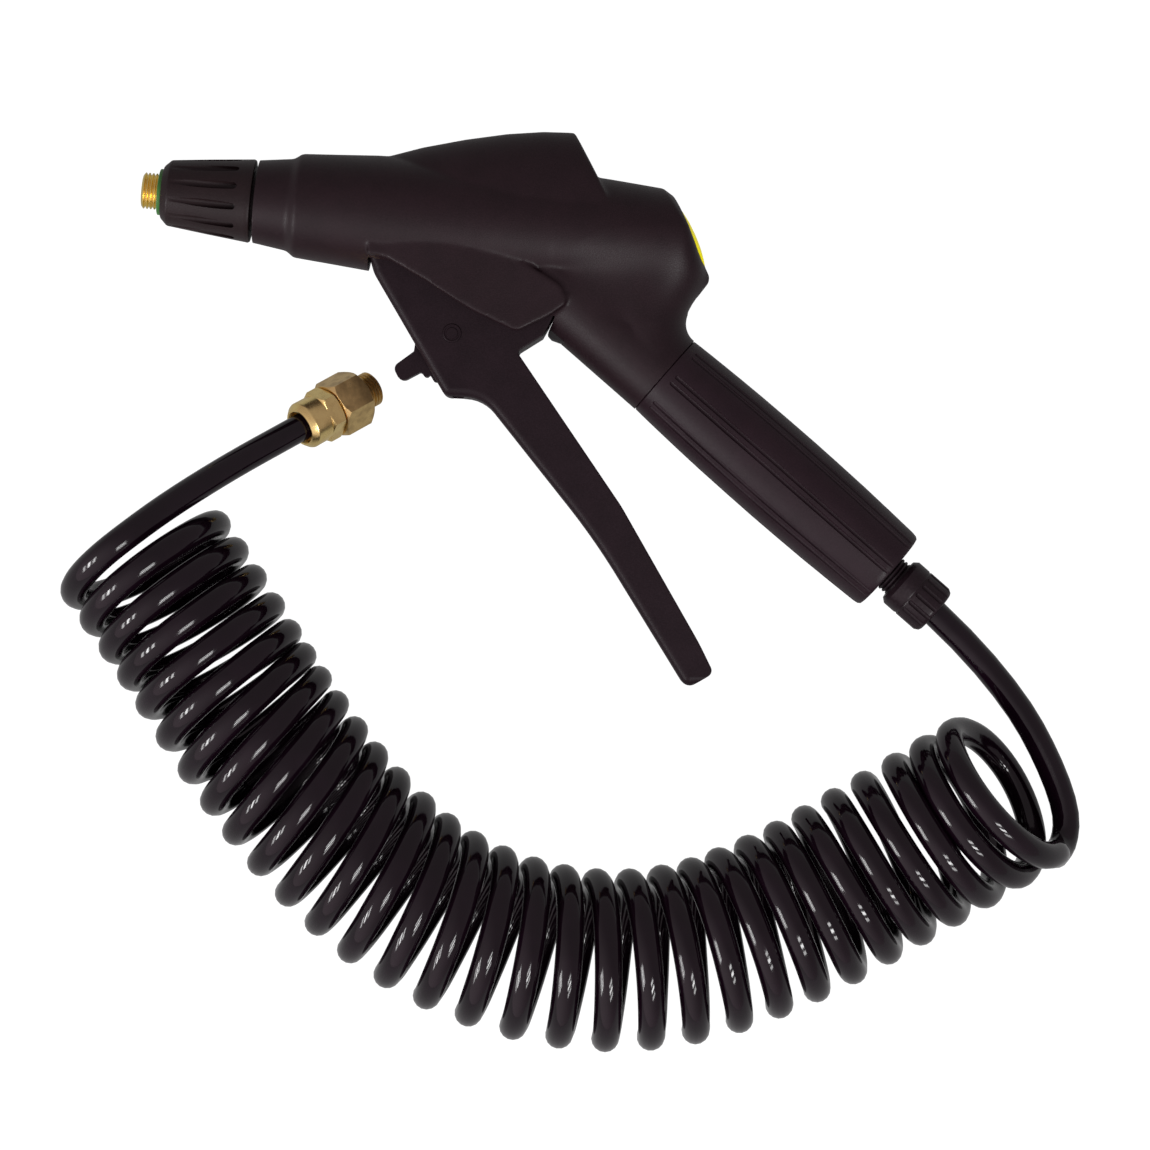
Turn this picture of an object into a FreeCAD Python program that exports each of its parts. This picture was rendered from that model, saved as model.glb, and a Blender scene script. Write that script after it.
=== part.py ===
import FreeCAD, Part
import math
import os

# Hand spray gun on a coiled air hose. All lengths are millimetres.
# Row frame: X runs along the barrel from the outlet to the rear, Y from the lever up to the hood,
# and Z is up. The gun lies on its side, and its mid-plane is level.
# Gun frame (u, v, w): u behind the outlet's end, v above the barrel's axis, w above the mid-plane.
# Grip frame (t, n): t along the grip's axis from the joint with the body, n across it.

V = FreeCAD.Vector

# ---- Fits ----
PRESS = 0.02              # radial gap of a seated or glued piece
RUNNING = 0.05            # radial gap of a shaft that turns or slides
CLEAR = 0.4               # gap between faces that pass each other

# ---- Body shells ----
BODY_R = 22.0             # largest radius round the barrel's axis
WALL = 2.4
OUTLET_X = -153.5
BARREL_Y = 62.0
MID_Z = BODY_R
COLLAR_U = 41.6           # front face of the collar
COLLAR_R = 14.9
COLLAR_BACK_U = 54.0
COLLAR_BACK_R = 16.8
NOSE_U = 56.6
NOSE_R = 18.8
CHIN_U = 84.5             # where the nose's underside ends and the trigger's slot starts
CHIN_R = 21.0
WIDEST_U = 125.0
DOME_U = 168.0            # front of the rear dome
DOME_R = 20.9
DOME_BACK_U = 187.0
DOME_BACK_R = 19.5
SOLID_NOSE_U = 62.0       # the nose is solid in front of this and hollow behind
CAVITY_BACK_U = 178.0
HOOD_STATIONS = (         # (u, height of the hood's top, half width)
    (86.0, 20.5, 13.0),
    (100.0, 25.6, 17.0),
    (115.0, 29.95, 19.3),
    (130.0, 33.5, 20.2),
    (143.0, 35.6, 20.3),
    (153.0, 36.3, 20.0),
    (168.0, 36.0, 19.0),
)
HOOD_BACK_TOP = (155.2, 36.4)
HOOD_BACK_FOOT = (167.0, 20.0)
HOOD_CORNER_R = 4.0

# ---- Rear cap, square to its own inclined axis ----
CAP_ANGLE = 29.6
RIM_CENTRE = (199.3, 2.5)
RIM_R = 17.8
RIM_CHAMFER = 1.6
FLARE = ((-9.3, 22.3), (-12.4, 24.7), (-12.4, 80.0), (-90.0, 80.0), (-90.0, 0.0))  # (from the rim, radius)
CROWN = ((-2.4, 20.4), (-9.0, 27.0), (-9.0, 80.0), (-90.0, 80.0), (-90.0, 0.0))  # the same on top
CROWN_V = 8.0             # the crown's flare counts above this
CAP_R = 12.0
CAP_RISE = 2.3
CAP_EDGE = 1.2
CAP_PLUG_R = 9.8
CAP_PLUG_LENGTH = 5.0

# ---- Grip ----
GRIP_ANGLE = -35.5
JOINT = (195.5, -48.0)    # where the grip's axis crosses the joint between body and grip
GRIP_LENGTH = 108.6
GRIP_PROFILE = ((0.0, 16.3), (14.0, 16.9), (32.0, 17.45), (58.0, 17.65), (82.0, 17.3), (105.8, 16.4))
GRIP_END_R = 14.0
GROOVE_COUNT = 8
GROOVE_PAIR_GAP = 3.0
GROOVE_WIDTH = 1.1
GROOVE_DEPTH = 0.55
GROOVE_START = 5.0
NECK_R = 16.4
NECK_FRONT_T = -58.0
ELBOW_R = 8.2             # inner radius of the bend from dome to grip
ELBOW_START = 3.0         # degrees from the joint, and a little thinner than the neck
ELBOW_SWEEP = 109.0
ELBOW_THINNER = 0.12
WEB = ((158.0, -10.0), (160.0, -24.0), (166.0, -27.0), (193.0, -46.0), (187.4, -38.2), (185.4, -27.0),
       (188.0, -10.0))
WEB_HALF = 15.7
CORE_R = 12.6
CORE_UP = 24.0            # how far the handle core reaches up into the neck
CORE_END = 107.0

# ---- Skirts on both sides of the trigger ----
TRIGGER_HALF = 12.0       # half width of the trigger
SKIRT_OUT = 18.3
SKIRT = ((CHIN_U, -6.0, 0.0), (CHIN_U, -15.9, 0.0), (140.6, -38.3, 3.0),
         (151.6, -31.8, 2.5), (157.8, -26.4, 3.0), (159.5, -20.0, 2.0), (158.0, -6.0, 0.0))

# ---- Trigger ----
PIVOT = (91.0, -12.0)
PIVOT_PIN_R = 2.2
PIVOT_PIN_HALF = 16.0
PIVOT_BOSS_R = 4.0
SLOT_TOP_V = -7.6
CHEEK = 2.6
FRONT_TOP = (84.9, -16.4)
CHIN_POINT = (117.4, -63.9)
THROAT = (130.8, -63.3)   # where the chin turns into the lever
LEVER_KNEE = (176.0, -110.0)
LEVER_TOE = (214.6, -160.8)
LEVER_TIP = (223.8, -154.0)
LEVER_BACK_LOW = (219.0, -143.0)
LEVER_BACK_HIGH = (184.6, -97.3)
LEVER_OPEN = 22.0         # how far the cutter for the lever's open back reaches out of it
HEEL_LOW = (142.2, -45.6)
HEEL_BACK = (150.2, -39.0)
HEEL_TOP = (152.5, -26.2)
TRIGGER_EDGE_R = 3.6
TRIGGER_MIDDLE = 92.0     # u + LEAN * v is less than this in front of the trigger's middle
TRIGGER_LEAN = 0.78
LEVER_WEB = 4.0           # thickness of the lever's front wall
LATCH_SLOT = (31.4, 52.6) # along the trigger's front edge
LATCH_PIVOT = (117.5, -41.2)
LATCH_HALF = 3.9
LATCH_PIN_R = 2.4
LATCH_HEAD_R = 3.45
LATCH_HEAD = 1.0
LATCH_HEAD_PROUD = 0.25
PAD_HALF_LENGTH = 3.2
PAD_TOP_V = -15.5
PAD_THICK = 3.4

# ---- Valve, across the barrel ----
VALVE_U = 122.0
VALVE_R = 9.5
VALVE_BOTTOM_V = -7.0
VALVE_TOP_V = 24.0
SEAT_V = 7.4
LOWER_BORE_R = 4.0
CHAMBER_R = 6.0
STEM_R = 2.0
STEM_GAP = 0.3            # free play between the stem's tip and the trigger's pad
GUIDE_TOP_V = -4.0
SEAL_THICK = 1.6
POPPET_R = 5.5
POPPET_SEAL = 1.0
POPPET_THICK = 2.0
SPRING_PIN_R = 2.2
SPRING_PIN_LENGTH = 3.0
SPRING_MEAN_R = 4.0
SPRING_WIRE_R = 0.45
SPRING_TURNS = 4.5
SPRING_STEPS = 16         # facets per turn
SPRING_SIDES = 6
VALVE_CAP_R = 6.3
VALVE_CAP_THICK = 2.4
VALVE_CAP_PLUG = 2.5
SHELF_THICK = 3.0

# ---- Barrel, spigot and knob ----
THREAD_R = 6.58           # crest of a G1/4 thread
THREAD_PITCH = 1.337
THREAD_DEPTH = 0.7
TUBE_R = 5.6
TUBE_BORE_R = 4.0
SPIGOT_THREAD_END = 6.0
SPIGOT_RELIEF_R = 5.8
SPIGOT_SHOULDER_R = 8.5
SPIGOT_SHOULDER_U = 7.5
SPIGOT_SHOULDER_END = 12.0
SPIGOT_BODY_R = 8.0
SPIGOT_LENGTH = 26.0
SPIGOT_BORE_R = 3.4
TUBE_FRONT_U = 16.0
SOCKET_DEPTH = 3.0
RING_INNER_R = 6.7
RING_OUTER_R = 8.4
RING_THICK = 1.6
BEARING_R = 10.5
BEARING_FRONT_U = 12.4
BEARING_BACK_U = 58.0
BEARING_FLANGE_R = 12.5
BEARING_FLANGE_U = 46.0
BEARING_FLANGE_THICK = 3.0
KNOB_FRONT_U = 7.3
KNOB_FRONT_R = 9.7
KNOB_CHAMFER_U = 9.8
KNOB_CHAMFER_R = 11.9
KNOB_BACK_U = 40.3
KNOB_BACK_R = 15.25
KNOB_LIP_R = 8.75
FLUTES = 12
FLUTE_R = 1.5
FLUTE_END_U = 34.0
CLIP_U = 31.0
CLIP_IN_R = 9.8
CLIP_OUT_R = 11.2
CLIP_THICK = 1.5
CLIP_PLAY = 0.2

# ---- Inlet tube ----
INLET_R = 5.0
INLET_BORE_R = 3.5
INLET_V = 11.5            # height at which it enters the valve
INLET_LOW_T = -28.0       # bend on the grip's axis
INLET_HIGH_U = 166.0      # bend above it

# ---- Gland at the grip's end ----
GLAND_ROOT_T = 92.0
GLAND_ROOT_R = 8.5
GLAND_THREAD_R = 6.9
GLAND_THREAD_PITCH = 1.5
GLAND_THREAD_END = 123.0
GLAND_TUBE_SEAT = 8.0
GLAND_BORE_R = 3.4
HOSE_SEAT_T = 112.0
NUT_FRONT_T = 113.2
NUT_BACK_T = 131.0
NUT_R = 9.75
NUT_FLUTES = 16
NUT_FLUTE_R = 0.75
NUT_FLUTE_START_T = 121.0
FERRULE_T = 123.3
FERRULE_THICK = 3.0

# ---- Hose ----
HOSE_R = 5.0
HOSE_BORE_R = 3.25
HOSE_GAP = 0.1            # between the hose and what it enters
COIL_MEAN_R = 28.1
COIL_AXIS_Z = COIL_MEAN_R + HOSE_R
COIL_WALL = 2.9           # gives the coil's tube the weight of the hose wound in it
SLEEVE_BORE_R = 2.4

# ---- Fitting on the hose's far end ----
FITTING_TIP = V(-64.2, -0.6, 5.3)
FITTING_HEADING = 217.0   # degrees from +X, from the thread's tip towards the hose
FITTING_TILT = 33.0       # degrees above level
FITTING_THREAD = 7.4
FITTING_RELIEF = 1.0
HEX_LENGTH = 13.2
HEX_FLATS = 19.5
HEX_TURN = 4.0
HEX_CHAMFER = 1.3
UNION_LENGTH = 13.8
UNION_HEX_LENGTH = 6.2
UNION_FLATS = 17.2
UNION_TURN = -8.0
UNION_CHAMFER = 1.0
UNION_COLLAR_R = 9.0
UNION_TAPER = 2.8
UNION_END_R = 7.2
UNION_MOUTH_R = 5.6
UNION_LIP = 2.4
FITTING_BORE_R = 3.6
FITTING_SPIGOT_R = 6.2
FITTING_SPIGOT = 8.0

# ---- Shell screws ----
SCREW_PLACES = ((70.0, 13.0), (70.0, -13.0), (143.0, 26.0), (184.0, 9.0), (184.0, -10.0))
SCREW_R = 1.5
SCREW_HEAD_R = 3.0
SCREW_HEAD_THICK = 2.2
SCREW_SEAT_W = -8.6
SCREW_TIP_W = 9.0
BOSS_R = 3.9

# Points of the free hose, as it lies. Each list is its own route.
FAR_TAIL_IN = 24.0        # from the thread's tip along the fitting's axis, inside the union nut
FAR_TAIL_BEND = 46.0      # first bend, still on that axis
FAR_TAIL = (V(-107.1, -32.9, 39.7), V(-125.2, -47.7, 51.3))
COIL_ROUTE = (
    V(-148.9, -58.4, COIL_AXIS_Z), V(-120.8, -91.0, COIL_AXIS_Z), V(-93.7, -126.6, COIL_AXIS_Z),
    V(-61.7, -161.7, COIL_AXIS_Z), V(-24.2, -189.0, COIL_AXIS_Z), V(22.0, -201.0, COIL_AXIS_Z),
    V(66.1, -196.8, COIL_AXIS_Z), V(106.0, -177.5, COIL_AXIS_Z), V(142.3, -151.2, COIL_AXIS_Z),
    V(166.5, -134.1, COIL_AXIS_Z), V(189.4, -116.5, COIL_AXIS_Z),
)
GUN_TAIL_BEND_T = 140.0   # first bend behind the gland, still on the grip's axis
GUN_TAIL = (V(181.5, -91.5, 19.4), V(195.3, -111.0, 16.4), V(205.6, -129.5, 13.6), V(204.6, -143.5, 16.5))


# ---- Frames ----
def at(u, v, w=0.0):
    """Point of the gun frame."""
    return V(OUTLET_X + u, BARREL_Y + v, MID_Z + w)


def on_grip(t, n=0.0, w=0.0):
    """Point of the grip frame."""
    a = math.radians(GRIP_ANGLE)
    u = JOINT[0] + t * math.cos(a) - n * math.sin(a)
    v = JOINT[1] + t * math.sin(a) + n * math.cos(a)
    return at(u, v, w)


def on_cap(s):
    """Point s behind the rim's plane, on the rear cap's axis."""
    a = math.radians(CAP_ANGLE)
    return at(RIM_CENTRE[0] + s * math.cos(a), RIM_CENTRE[1] + s * math.sin(a))


BARREL_DIR = V(1, 0, 0)
VALVE_DIR = V(0, 1, 0)
GRIP_DIR = on_grip(1.0) - on_grip(0.0)
CAP_DIR = on_cap(1.0) - on_cap(0.0)
FITTING_DIR = V(
    math.cos(math.radians(FITTING_TILT)) * math.cos(math.radians(FITTING_HEADING)),
    math.cos(math.radians(FITTING_TILT)) * math.sin(math.radians(FITTING_HEADING)),
    math.sin(math.radians(FITTING_TILT)),
)


def on_fitting(d):
    """Point d from the thread's tip on the fitting's axis."""
    return FITTING_TIP + FITTING_DIR * d


# ---- Solids ----
def turned(profile, origin, axis):
    """Solid of revolution of closed (distance along, radius) points."""
    side = axis.cross(V(0, 0, 1))
    side.normalize()
    points = [origin + axis * a + side * r for a, r in profile]
    face = Part.Face(Part.makePolygon(points + points[:1]))
    return face.revolve(origin, axis, 360)


def rod(radius, a0, a1, origin, axis):
    return Part.makeCylinder(radius, a1 - a0, origin + axis * a0, axis)


def pipe(outer, inner, a0, a1, origin, axis):
    return rod(outer, a0, a1, origin, axis).cut(rod(inner, a0, a1, origin, axis))


def cross_rod(radius, place, w0, w1):
    """Cylinder through the gun's thickness."""
    return Part.makeCylinder(radius, w1 - w0, at(place[0], place[1], w0), V(0, 0, 1))


def outline(corners):
    """Closed wire at the mid-plane from (u, v, corner radius) triples."""
    count = len(corners)
    points = [V(u, v, 0) for u, v, r in corners]
    ends = []
    edges = []
    for i, (u, v, radius) in enumerate(corners):
        p = points[i]
        if radius <= 0:
            ends.append((p, p))
            continue
        a = (points[i - 1] - p).normalize()
        b = (points[(i + 1) % count] - p).normalize()
        half = a.getAngle(b) / 2.0
        reach = radius / math.tan(half)
        middle = (a + b).normalize()
        inner = p + middle * (radius / math.sin(half) - radius)
        start, stop = p + a * reach, p + b * reach
        edges.append((i, Part.Arc(start, inner, stop).toShape()))
        ends.append((start, stop))
    arcs = dict(edges)
    path = []
    for i in range(count):
        if i in arcs:
            path.append(arcs[i])
        start, stop = ends[i][1], ends[(i + 1) % count][0]
        if start.distanceToPoint(stop) > 1e-6:
            path.append(Part.makeLine(start, stop))
    return Part.Wire(Part.__sortEdges__(path))


def plate(corners, w0, w1):
    """Outline extruded through the gun's thickness from w0 to w1."""
    face = Part.Face(outline(corners))
    face.translate(at(0, 0, w0))
    return face.extrude(V(0, 0, w1 - w0))


def turn_about(shape, origin, axis, degrees):
    copy = shape.copy()
    copy.rotate(origin, axis, degrees)
    return copy


def thread_profile(start, stop, crest, pitch, depth):
    """Crest lands and V grooves of a thread, as (along, radius) points from start to stop."""
    land = 0.36 * pitch
    points = []
    a = start
    while a + pitch < stop:
        points += [(a, crest), (a + land, crest), (a + (land + pitch) / 2.0, crest - depth)]
        a += pitch
    return points + [(a, crest), (stop, crest)]


def rounded_path(points):
    """Straight runs joined by tangent arcs, as a list of edges, with each arc's radius."""
    edges, radii = [], []
    last = points[0]
    for before, p, after in zip(points, points[1:], points[2:]):
        a, b = (before - p), (after - p)
        shorter = min(a.Length, b.Length)
        turn = math.pi - a.getAngle(b)
        radius = 0.45 * shorter / math.tan(turn / 2.0)
        a.normalize()
        b.normalize()
        start, stop = p + a * (0.45 * shorter), p + b * (0.45 * shorter)
        middle = (a + b).normalize() * (radius / math.cos(turn / 2.0) - radius)
        edges.append(Part.makeLine(last, start))
        edges.append(Part.Arc(start, p + middle, stop).toShape())
        radii.append(radius)
        last = stop
    edges.append(Part.makeLine(last, points[-1]))
    return edges, radii


def section(outer, inner, origin, normal):
    """Round or ring-shaped face square to a path."""
    face = Part.Face(Part.Wire(Part.makeCircle(outer, origin, normal)))
    if inner > 0:
        face = face.cut(Part.Face(Part.Wire(Part.makeCircle(inner, origin, normal))))
    return face


def along(edges, outer, inner=0.0):
    """Tube along straight and round edges."""
    pieces = []
    for edge in edges:
        start, tangent = edge.valueAt(edge.FirstParameter), edge.tangentAt(edge.FirstParameter)
        if start.distanceToPoint(edge.Vertexes[0].Point) > 1e-6:
            raise ValueError("edge runs backwards")
        face = section(outer, inner, start, tangent)
        if edge.Curve.TypeId == "Part::GeomLine":
            pieces.append(face.extrude(tangent * edge.Length))
            continue
        centre = edge.Curve.Center
        axis = (start - centre).cross(tangent)
        pieces.append(face.revolve(centre, axis, math.degrees(edge.Length / edge.Curve.Radius)))
    return pieces[0].multiFuse(pieces[1:]).removeSplitter()


def tube(name, points, outer, inner=0.0):
    """Tube along a route. Prints the bends and compares the volume with section times length."""
    edges, radii = rounded_path(points)
    length = sum(edge.Length for edge in edges)
    solid = along(edges, outer, inner)
    expected = math.pi * (outer ** 2 - inner ** 2) * length
    print(name, "length", round(length, 1), "radii", [round(r) for r in radii],
          "volume ratio", round(solid.Volume / expected, 4))
    return solid


# ---- Outer form of the body ----
def body_profile(inset):
    """Half outline of the body round the barrel's axis, drawn in by the inset."""
    start = COLLAR_U if inset == 0 else SOLID_NOSE_U
    points = [(start, 0)]
    if inset == 0:
        points += [(COLLAR_U, COLLAR_R), (COLLAR_BACK_U, COLLAR_BACK_R), (NOSE_U, NOSE_R)]
    else:
        share = (SOLID_NOSE_U - NOSE_U) / (CHIN_U - NOSE_U)
        points += [(SOLID_NOSE_U, NOSE_R + share * (CHIN_R - NOSE_R) - inset)]
    return points + [(CHIN_U, CHIN_R - inset), (WIDEST_U, BODY_R - inset)]


def front_form(inset=0.0):
    profile = body_profile(inset) + [(WIDEST_U + 25.0, BODY_R - 0.4 - inset), (WIDEST_U + 25.0, 0)]
    return turned(profile, at(0, 0), BARREL_DIR)


def dome_form(inset=0.0):
    """Rear dome: a round body cut to a cone behind, square to the cap's axis."""
    front = WIDEST_U + 25.0
    stop = DOME_BACK_U + 26.0 if inset == 0 else CAVITY_BACK_U
    profile = [(front, 0), (front, BODY_R - 0.4 - inset), (DOME_U, DOME_R - inset),
               (DOME_BACK_U, DOME_BACK_R - inset)]
    if inset == 0:
        profile += [(stop, DOME_BACK_R - 1.0), (stop, 0)]
    else:
        profile = profile[:3] + [(stop, DOME_BACK_R - inset), (stop, 0)]
    body = turned(profile, at(0, 0), BARREL_DIR)
    if inset > 0:
        return body
    centre, turn = on_grip(0, NECK_R + ELBOW_R), V(0, 0, -1)
    disc = turn_about(section(NECK_R - ELBOW_THINNER, 0, on_grip(0), GRIP_DIR), centre, turn, ELBOW_START)
    elbow = disc.revolve(centre, turn, ELBOW_SWEEP)
    rim = ((0, 0), (0, RIM_R - RIM_CHAMFER), (-RIM_CHAMFER * 0.6, RIM_R))
    above = Part.makeBox(stop - front, BODY_R + 1 - CROWN_V, 2 * BODY_R + 2, at(front, CROWN_V, -BODY_R - 1))
    crown = body.common(turned(rim + CROWN, on_cap(0), CAP_DIR)).common(above)
    return body.fuse(elbow).common(turned(rim + FLARE, on_cap(0), CAP_DIR)).fuse(crown)


def hood_form(inset=0.0):
    sections = []
    for u, top, half in HOOD_STATIONS:
        wide, high = half - inset, top - inset
        ring = Part.Face(Part.Wire(Part.Ellipse(at(u, high, 0), at(u, 0, wide), at(u, 0, 0)).toShape()))
        upper = Part.makeBox(2, high + 1, 2 * wide + 2, at(u - 1, 0, -wide - 1))
        sections.append(ring.common(upper).Faces[0].OuterWire)
    loft = Part.makeLoft(sections, True, False)
    top_u, top_v = HOOD_BACK_TOP
    foot_u, foot_v = HOOD_BACK_FOOT
    slope = (foot_v - top_v) / (foot_u - top_u)
    shift = inset * 1.3
    back = plate(((60.0, -1.0, 0), (foot_u - shift + (-1.0 - foot_v) / slope, -1.0, 0),
                  (top_u - shift, top_v, HOOD_CORNER_R), (top_u - shift - 9.0, top_v + 1.0, 0),
                  (60.0, 40.0, 0)),
                 -BODY_R - 2, BODY_R + 2)
    return loft.common(back)


def neck_form():
    """Neck towards the grip, and the web that fills the corner between neck and dome."""
    neck = rod(NECK_R, NECK_FRONT_T, 0, on_grip(0), GRIP_DIR)
    return neck.fuse(plate(tuple((u, v, 0) for u, v in WEB), -WEB_HALF, WEB_HALF))


def skirt_forms():
    inner = TRIGGER_HALF + CLEAR
    return [plate(SKIRT, inner, SKIRT_OUT), plate(SKIRT, -SKIRT_OUT, -inner)]


def slot_form():
    """Space the trigger sweeps: a disc round its pivot, below the slot's ceiling."""
    reach = math.dist(PIVOT, HEEL_BACK) + 2 * CLEAR
    half = TRIGGER_HALF + CLEAR
    disc = cross_rod(reach, PIVOT, -half, half)
    below = Part.makeBox(reach + 10, 70, 2 * half, at(CHIN_U, SLOT_TOP_V - 70, -half))
    return disc.common(below)


def screw_tools():
    """Clearance of the shell screws: shank, head recess."""
    tools = []
    for place in SCREW_PLACES:
        tools.append(cross_rod(SCREW_R + RUNNING, place, SCREW_SEAT_W - 1, SCREW_TIP_W + 1))
        tools.append(cross_rod(SCREW_HEAD_R + RUNNING * 4, place, -BODY_R - 3, SCREW_SEAT_W))
    return tools


def inlet_points(extra=0.0):
    return [on_grip(GLAND_ROOT_T + GLAND_TUBE_SEAT - 0.5), on_grip(INLET_LOW_T),
            at(INLET_HIGH_U, INLET_V), at(VALVE_U + VALVE_R - SOCKET_DEPTH, INLET_V)]


def body_cavity():
    hollow = front_form(WALL).fuse([dome_form(WALL), hood_form(WALL)])
    slot_end = PIVOT[0] + math.dist(PIVOT, HEEL_BACK)
    ceiling = SLOT_TOP_V + WALL
    floor = Part.makeBox(slot_end - CHIN_U, BODY_R + ceiling, 2 * BODY_R, at(CHIN_U, -BODY_R, -BODY_R))
    bulkheads = [Part.makeBox(SHELF_THICK, 2 * BODY_R + 20, 2 * BODY_R, at(u, -BODY_R, -BODY_R))
                 for u in (CHIN_U - SHELF_THICK, slot_end)]
    high_shelf = Part.makeBox(2 * VALVE_R + 10, SHELF_THICK, 2 * BODY_R,
                              at(VALVE_U - VALVE_R - 5, INLET_V + INLET_R + 1, -BODY_R))
    kept = [cross_rod(BOSS_R, place, -BODY_R, BODY_R) for place in SCREW_PLACES]
    pin_boss = cross_rod(PIVOT_PIN_R + 2.5, PIVOT, -BODY_R, BODY_R)
    return hollow.cut(kept + bulkheads + [floor, high_shelf, pin_boss])


def body_solid():
    outer = front_form().fuse([dome_form(), hood_form(), neck_form()] + skirt_forms())
    edges, _ = rounded_path(inlet_points())
    cuts = [
        body_cavity(),
        slot_form(),
        rod(BEARING_R + PRESS, COLLAR_U - 1, SOLID_NOSE_U + 1, at(0, 0), BARREL_DIR),
        rod(BEARING_FLANGE_R + PRESS, BEARING_FLANGE_U - PRESS,
            BEARING_FLANGE_U + BEARING_FLANGE_THICK + PRESS, at(0, 0), BARREL_DIR),
        rod(TUBE_R + PRESS, SOLID_NOSE_U, VALVE_U, at(0, 0), BARREL_DIR),
        rod(VALVE_R + PRESS, SLOT_TOP_V - 1, VALVE_TOP_V + PRESS, at(VALVE_U, 0), VALVE_DIR),
        rod(VALVE_CAP_R + CLEAR, VALVE_TOP_V, VALVE_TOP_V + VALVE_CAP_THICK + CLEAR,
            at(VALVE_U, 0), VALVE_DIR),
        rod(CORE_R + PRESS, -CORE_UP, 1, on_grip(0), GRIP_DIR),
        rod(CAP_R + PRESS, -CAP_EDGE, 3, on_cap(0), CAP_DIR),
        rod(CAP_PLUG_R + PRESS, -CAP_EDGE - CAP_PLUG_LENGTH - 2, 3, on_cap(0), CAP_DIR),
        cross_rod(PIVOT_PIN_R + RUNNING, PIVOT, -PIVOT_PIN_HALF, PIVOT_PIN_HALF),
        along(edges, INLET_R + PRESS),
    ]
    return outer.cut(cuts + screw_tools())


def shells():
    body = body_solid()
    size = 400.0
    upper = Part.makeBox(size, size, size, at(-100, -200, 0))
    lower = Part.makeBox(size, size, size, at(-100, -200, -size))
    return main_solid(body.common(upper)), main_solid(body.common(lower))


def main_solid(shape):
    """The piece itself, without loose crumbs that a cut can leave."""
    return max(shape.Solids, key=lambda solid: solid.Volume)


def rear_cap():
    sphere_r = (CAP_R ** 2 + CAP_RISE ** 2) / (2 * CAP_RISE)
    disc = rod(CAP_R, -CAP_EDGE, CAP_RISE, on_cap(0), CAP_DIR)
    dome = Part.makeSphere(sphere_r, on_cap(CAP_RISE - sphere_r))
    plug = pipe(CAP_PLUG_R, CAP_PLUG_R - WALL, -CAP_EDGE - CAP_PLUG_LENGTH, -CAP_EDGE,
                on_cap(0), CAP_DIR)
    return disc.common(dome).fuse(plug).removeSplitter()


def shell_screws():
    screws = []
    for place in SCREW_PLACES:
        shank = cross_rod(SCREW_R, place, SCREW_SEAT_W, SCREW_TIP_W)
        head = cross_rod(SCREW_HEAD_R, place, SCREW_SEAT_W - SCREW_HEAD_THICK, SCREW_SEAT_W)
        arms = [Part.makeBox(0.8, 3.6, 1.2, at(place[0] - 0.4, place[1] - 1.8,
                                               SCREW_SEAT_W - SCREW_HEAD_THICK))]
        arms.append(turn_about(arms[0], at(place[0], place[1]), V(0, 0, 1), 90))
        screws.append(shank.fuse(head).removeSplitter().cut(arms))
    return Part.makeCompound(screws)


# ---- Barrel, spigot and knob ----
def barrel_tube():
    return pipe(TUBE_R, TUBE_BORE_R, TUBE_FRONT_U, VALVE_U - VALVE_R + SOCKET_DEPTH, at(0, 0), BARREL_DIR)


def nozzle_spigot():
    socket = TUBE_R + PRESS
    profile = [(0, SPIGOT_BORE_R + 0.5), (0, THREAD_R - THREAD_DEPTH)]
    profile += thread_profile(THREAD_DEPTH, SPIGOT_THREAD_END, THREAD_R, THREAD_PITCH, THREAD_DEPTH)
    profile += [
        (SPIGOT_THREAD_END, SPIGOT_RELIEF_R), (SPIGOT_SHOULDER_U, SPIGOT_RELIEF_R),
        (SPIGOT_SHOULDER_U, SPIGOT_SHOULDER_R), (SPIGOT_SHOULDER_END, SPIGOT_SHOULDER_R),
        (SPIGOT_SHOULDER_END, SPIGOT_BODY_R), (SPIGOT_LENGTH, SPIGOT_BODY_R),
        (SPIGOT_LENGTH, socket), (TUBE_FRONT_U, socket), (TUBE_FRONT_U, SPIGOT_BORE_R),
        (0.5, SPIGOT_BORE_R),
    ]
    return turned(profile, at(0, 0), BARREL_DIR)


def spigot_seal():
    a1 = SPIGOT_SHOULDER_U
    ring = pipe(RING_OUTER_R, RING_INNER_R, a1 - RING_THICK, a1, at(0, 0), BARREL_DIR)
    edges = [e for e in ring.Edges if e.Curve.TypeId == "Part::GeomCircle"
             and abs(e.Curve.Center.x - at(a1 - RING_THICK, 0).x) < 1e-6]
    return ring.makeFillet(0.35, edges)


def knob_bearing():
    flange = pipe(BEARING_FLANGE_R, SPIGOT_BODY_R + PRESS, BEARING_FLANGE_U,
                  BEARING_FLANGE_U + BEARING_FLANGE_THICK, at(0, 0), BARREL_DIR)
    sleeve = pipe(BEARING_R, SPIGOT_BODY_R + PRESS, BEARING_FRONT_U, BEARING_BACK_U, at(0, 0), BARREL_DIR)
    groove = pipe(BEARING_R + 1, CLIP_IN_R, CLIP_U - PRESS, CLIP_U + CLIP_THICK + PRESS, at(0, 0), BARREL_DIR)
    return sleeve.fuse(flange).removeSplitter().cut(groove)


def knob_clip():
    """Spring ring that keeps the knob on the bearing. It is split on one side."""
    ring = pipe(CLIP_OUT_R, CLIP_IN_R + PRESS, CLIP_U, CLIP_U + CLIP_THICK, at(0, 0), BARREL_DIR)
    split = Part.makeBox(CLIP_THICK + 2, CLIP_OUT_R + 2, CLIP_THICK,
                         at(CLIP_U - 1, -CLIP_OUT_R - 2, -CLIP_THICK / 2))
    return ring.cut(split)


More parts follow.
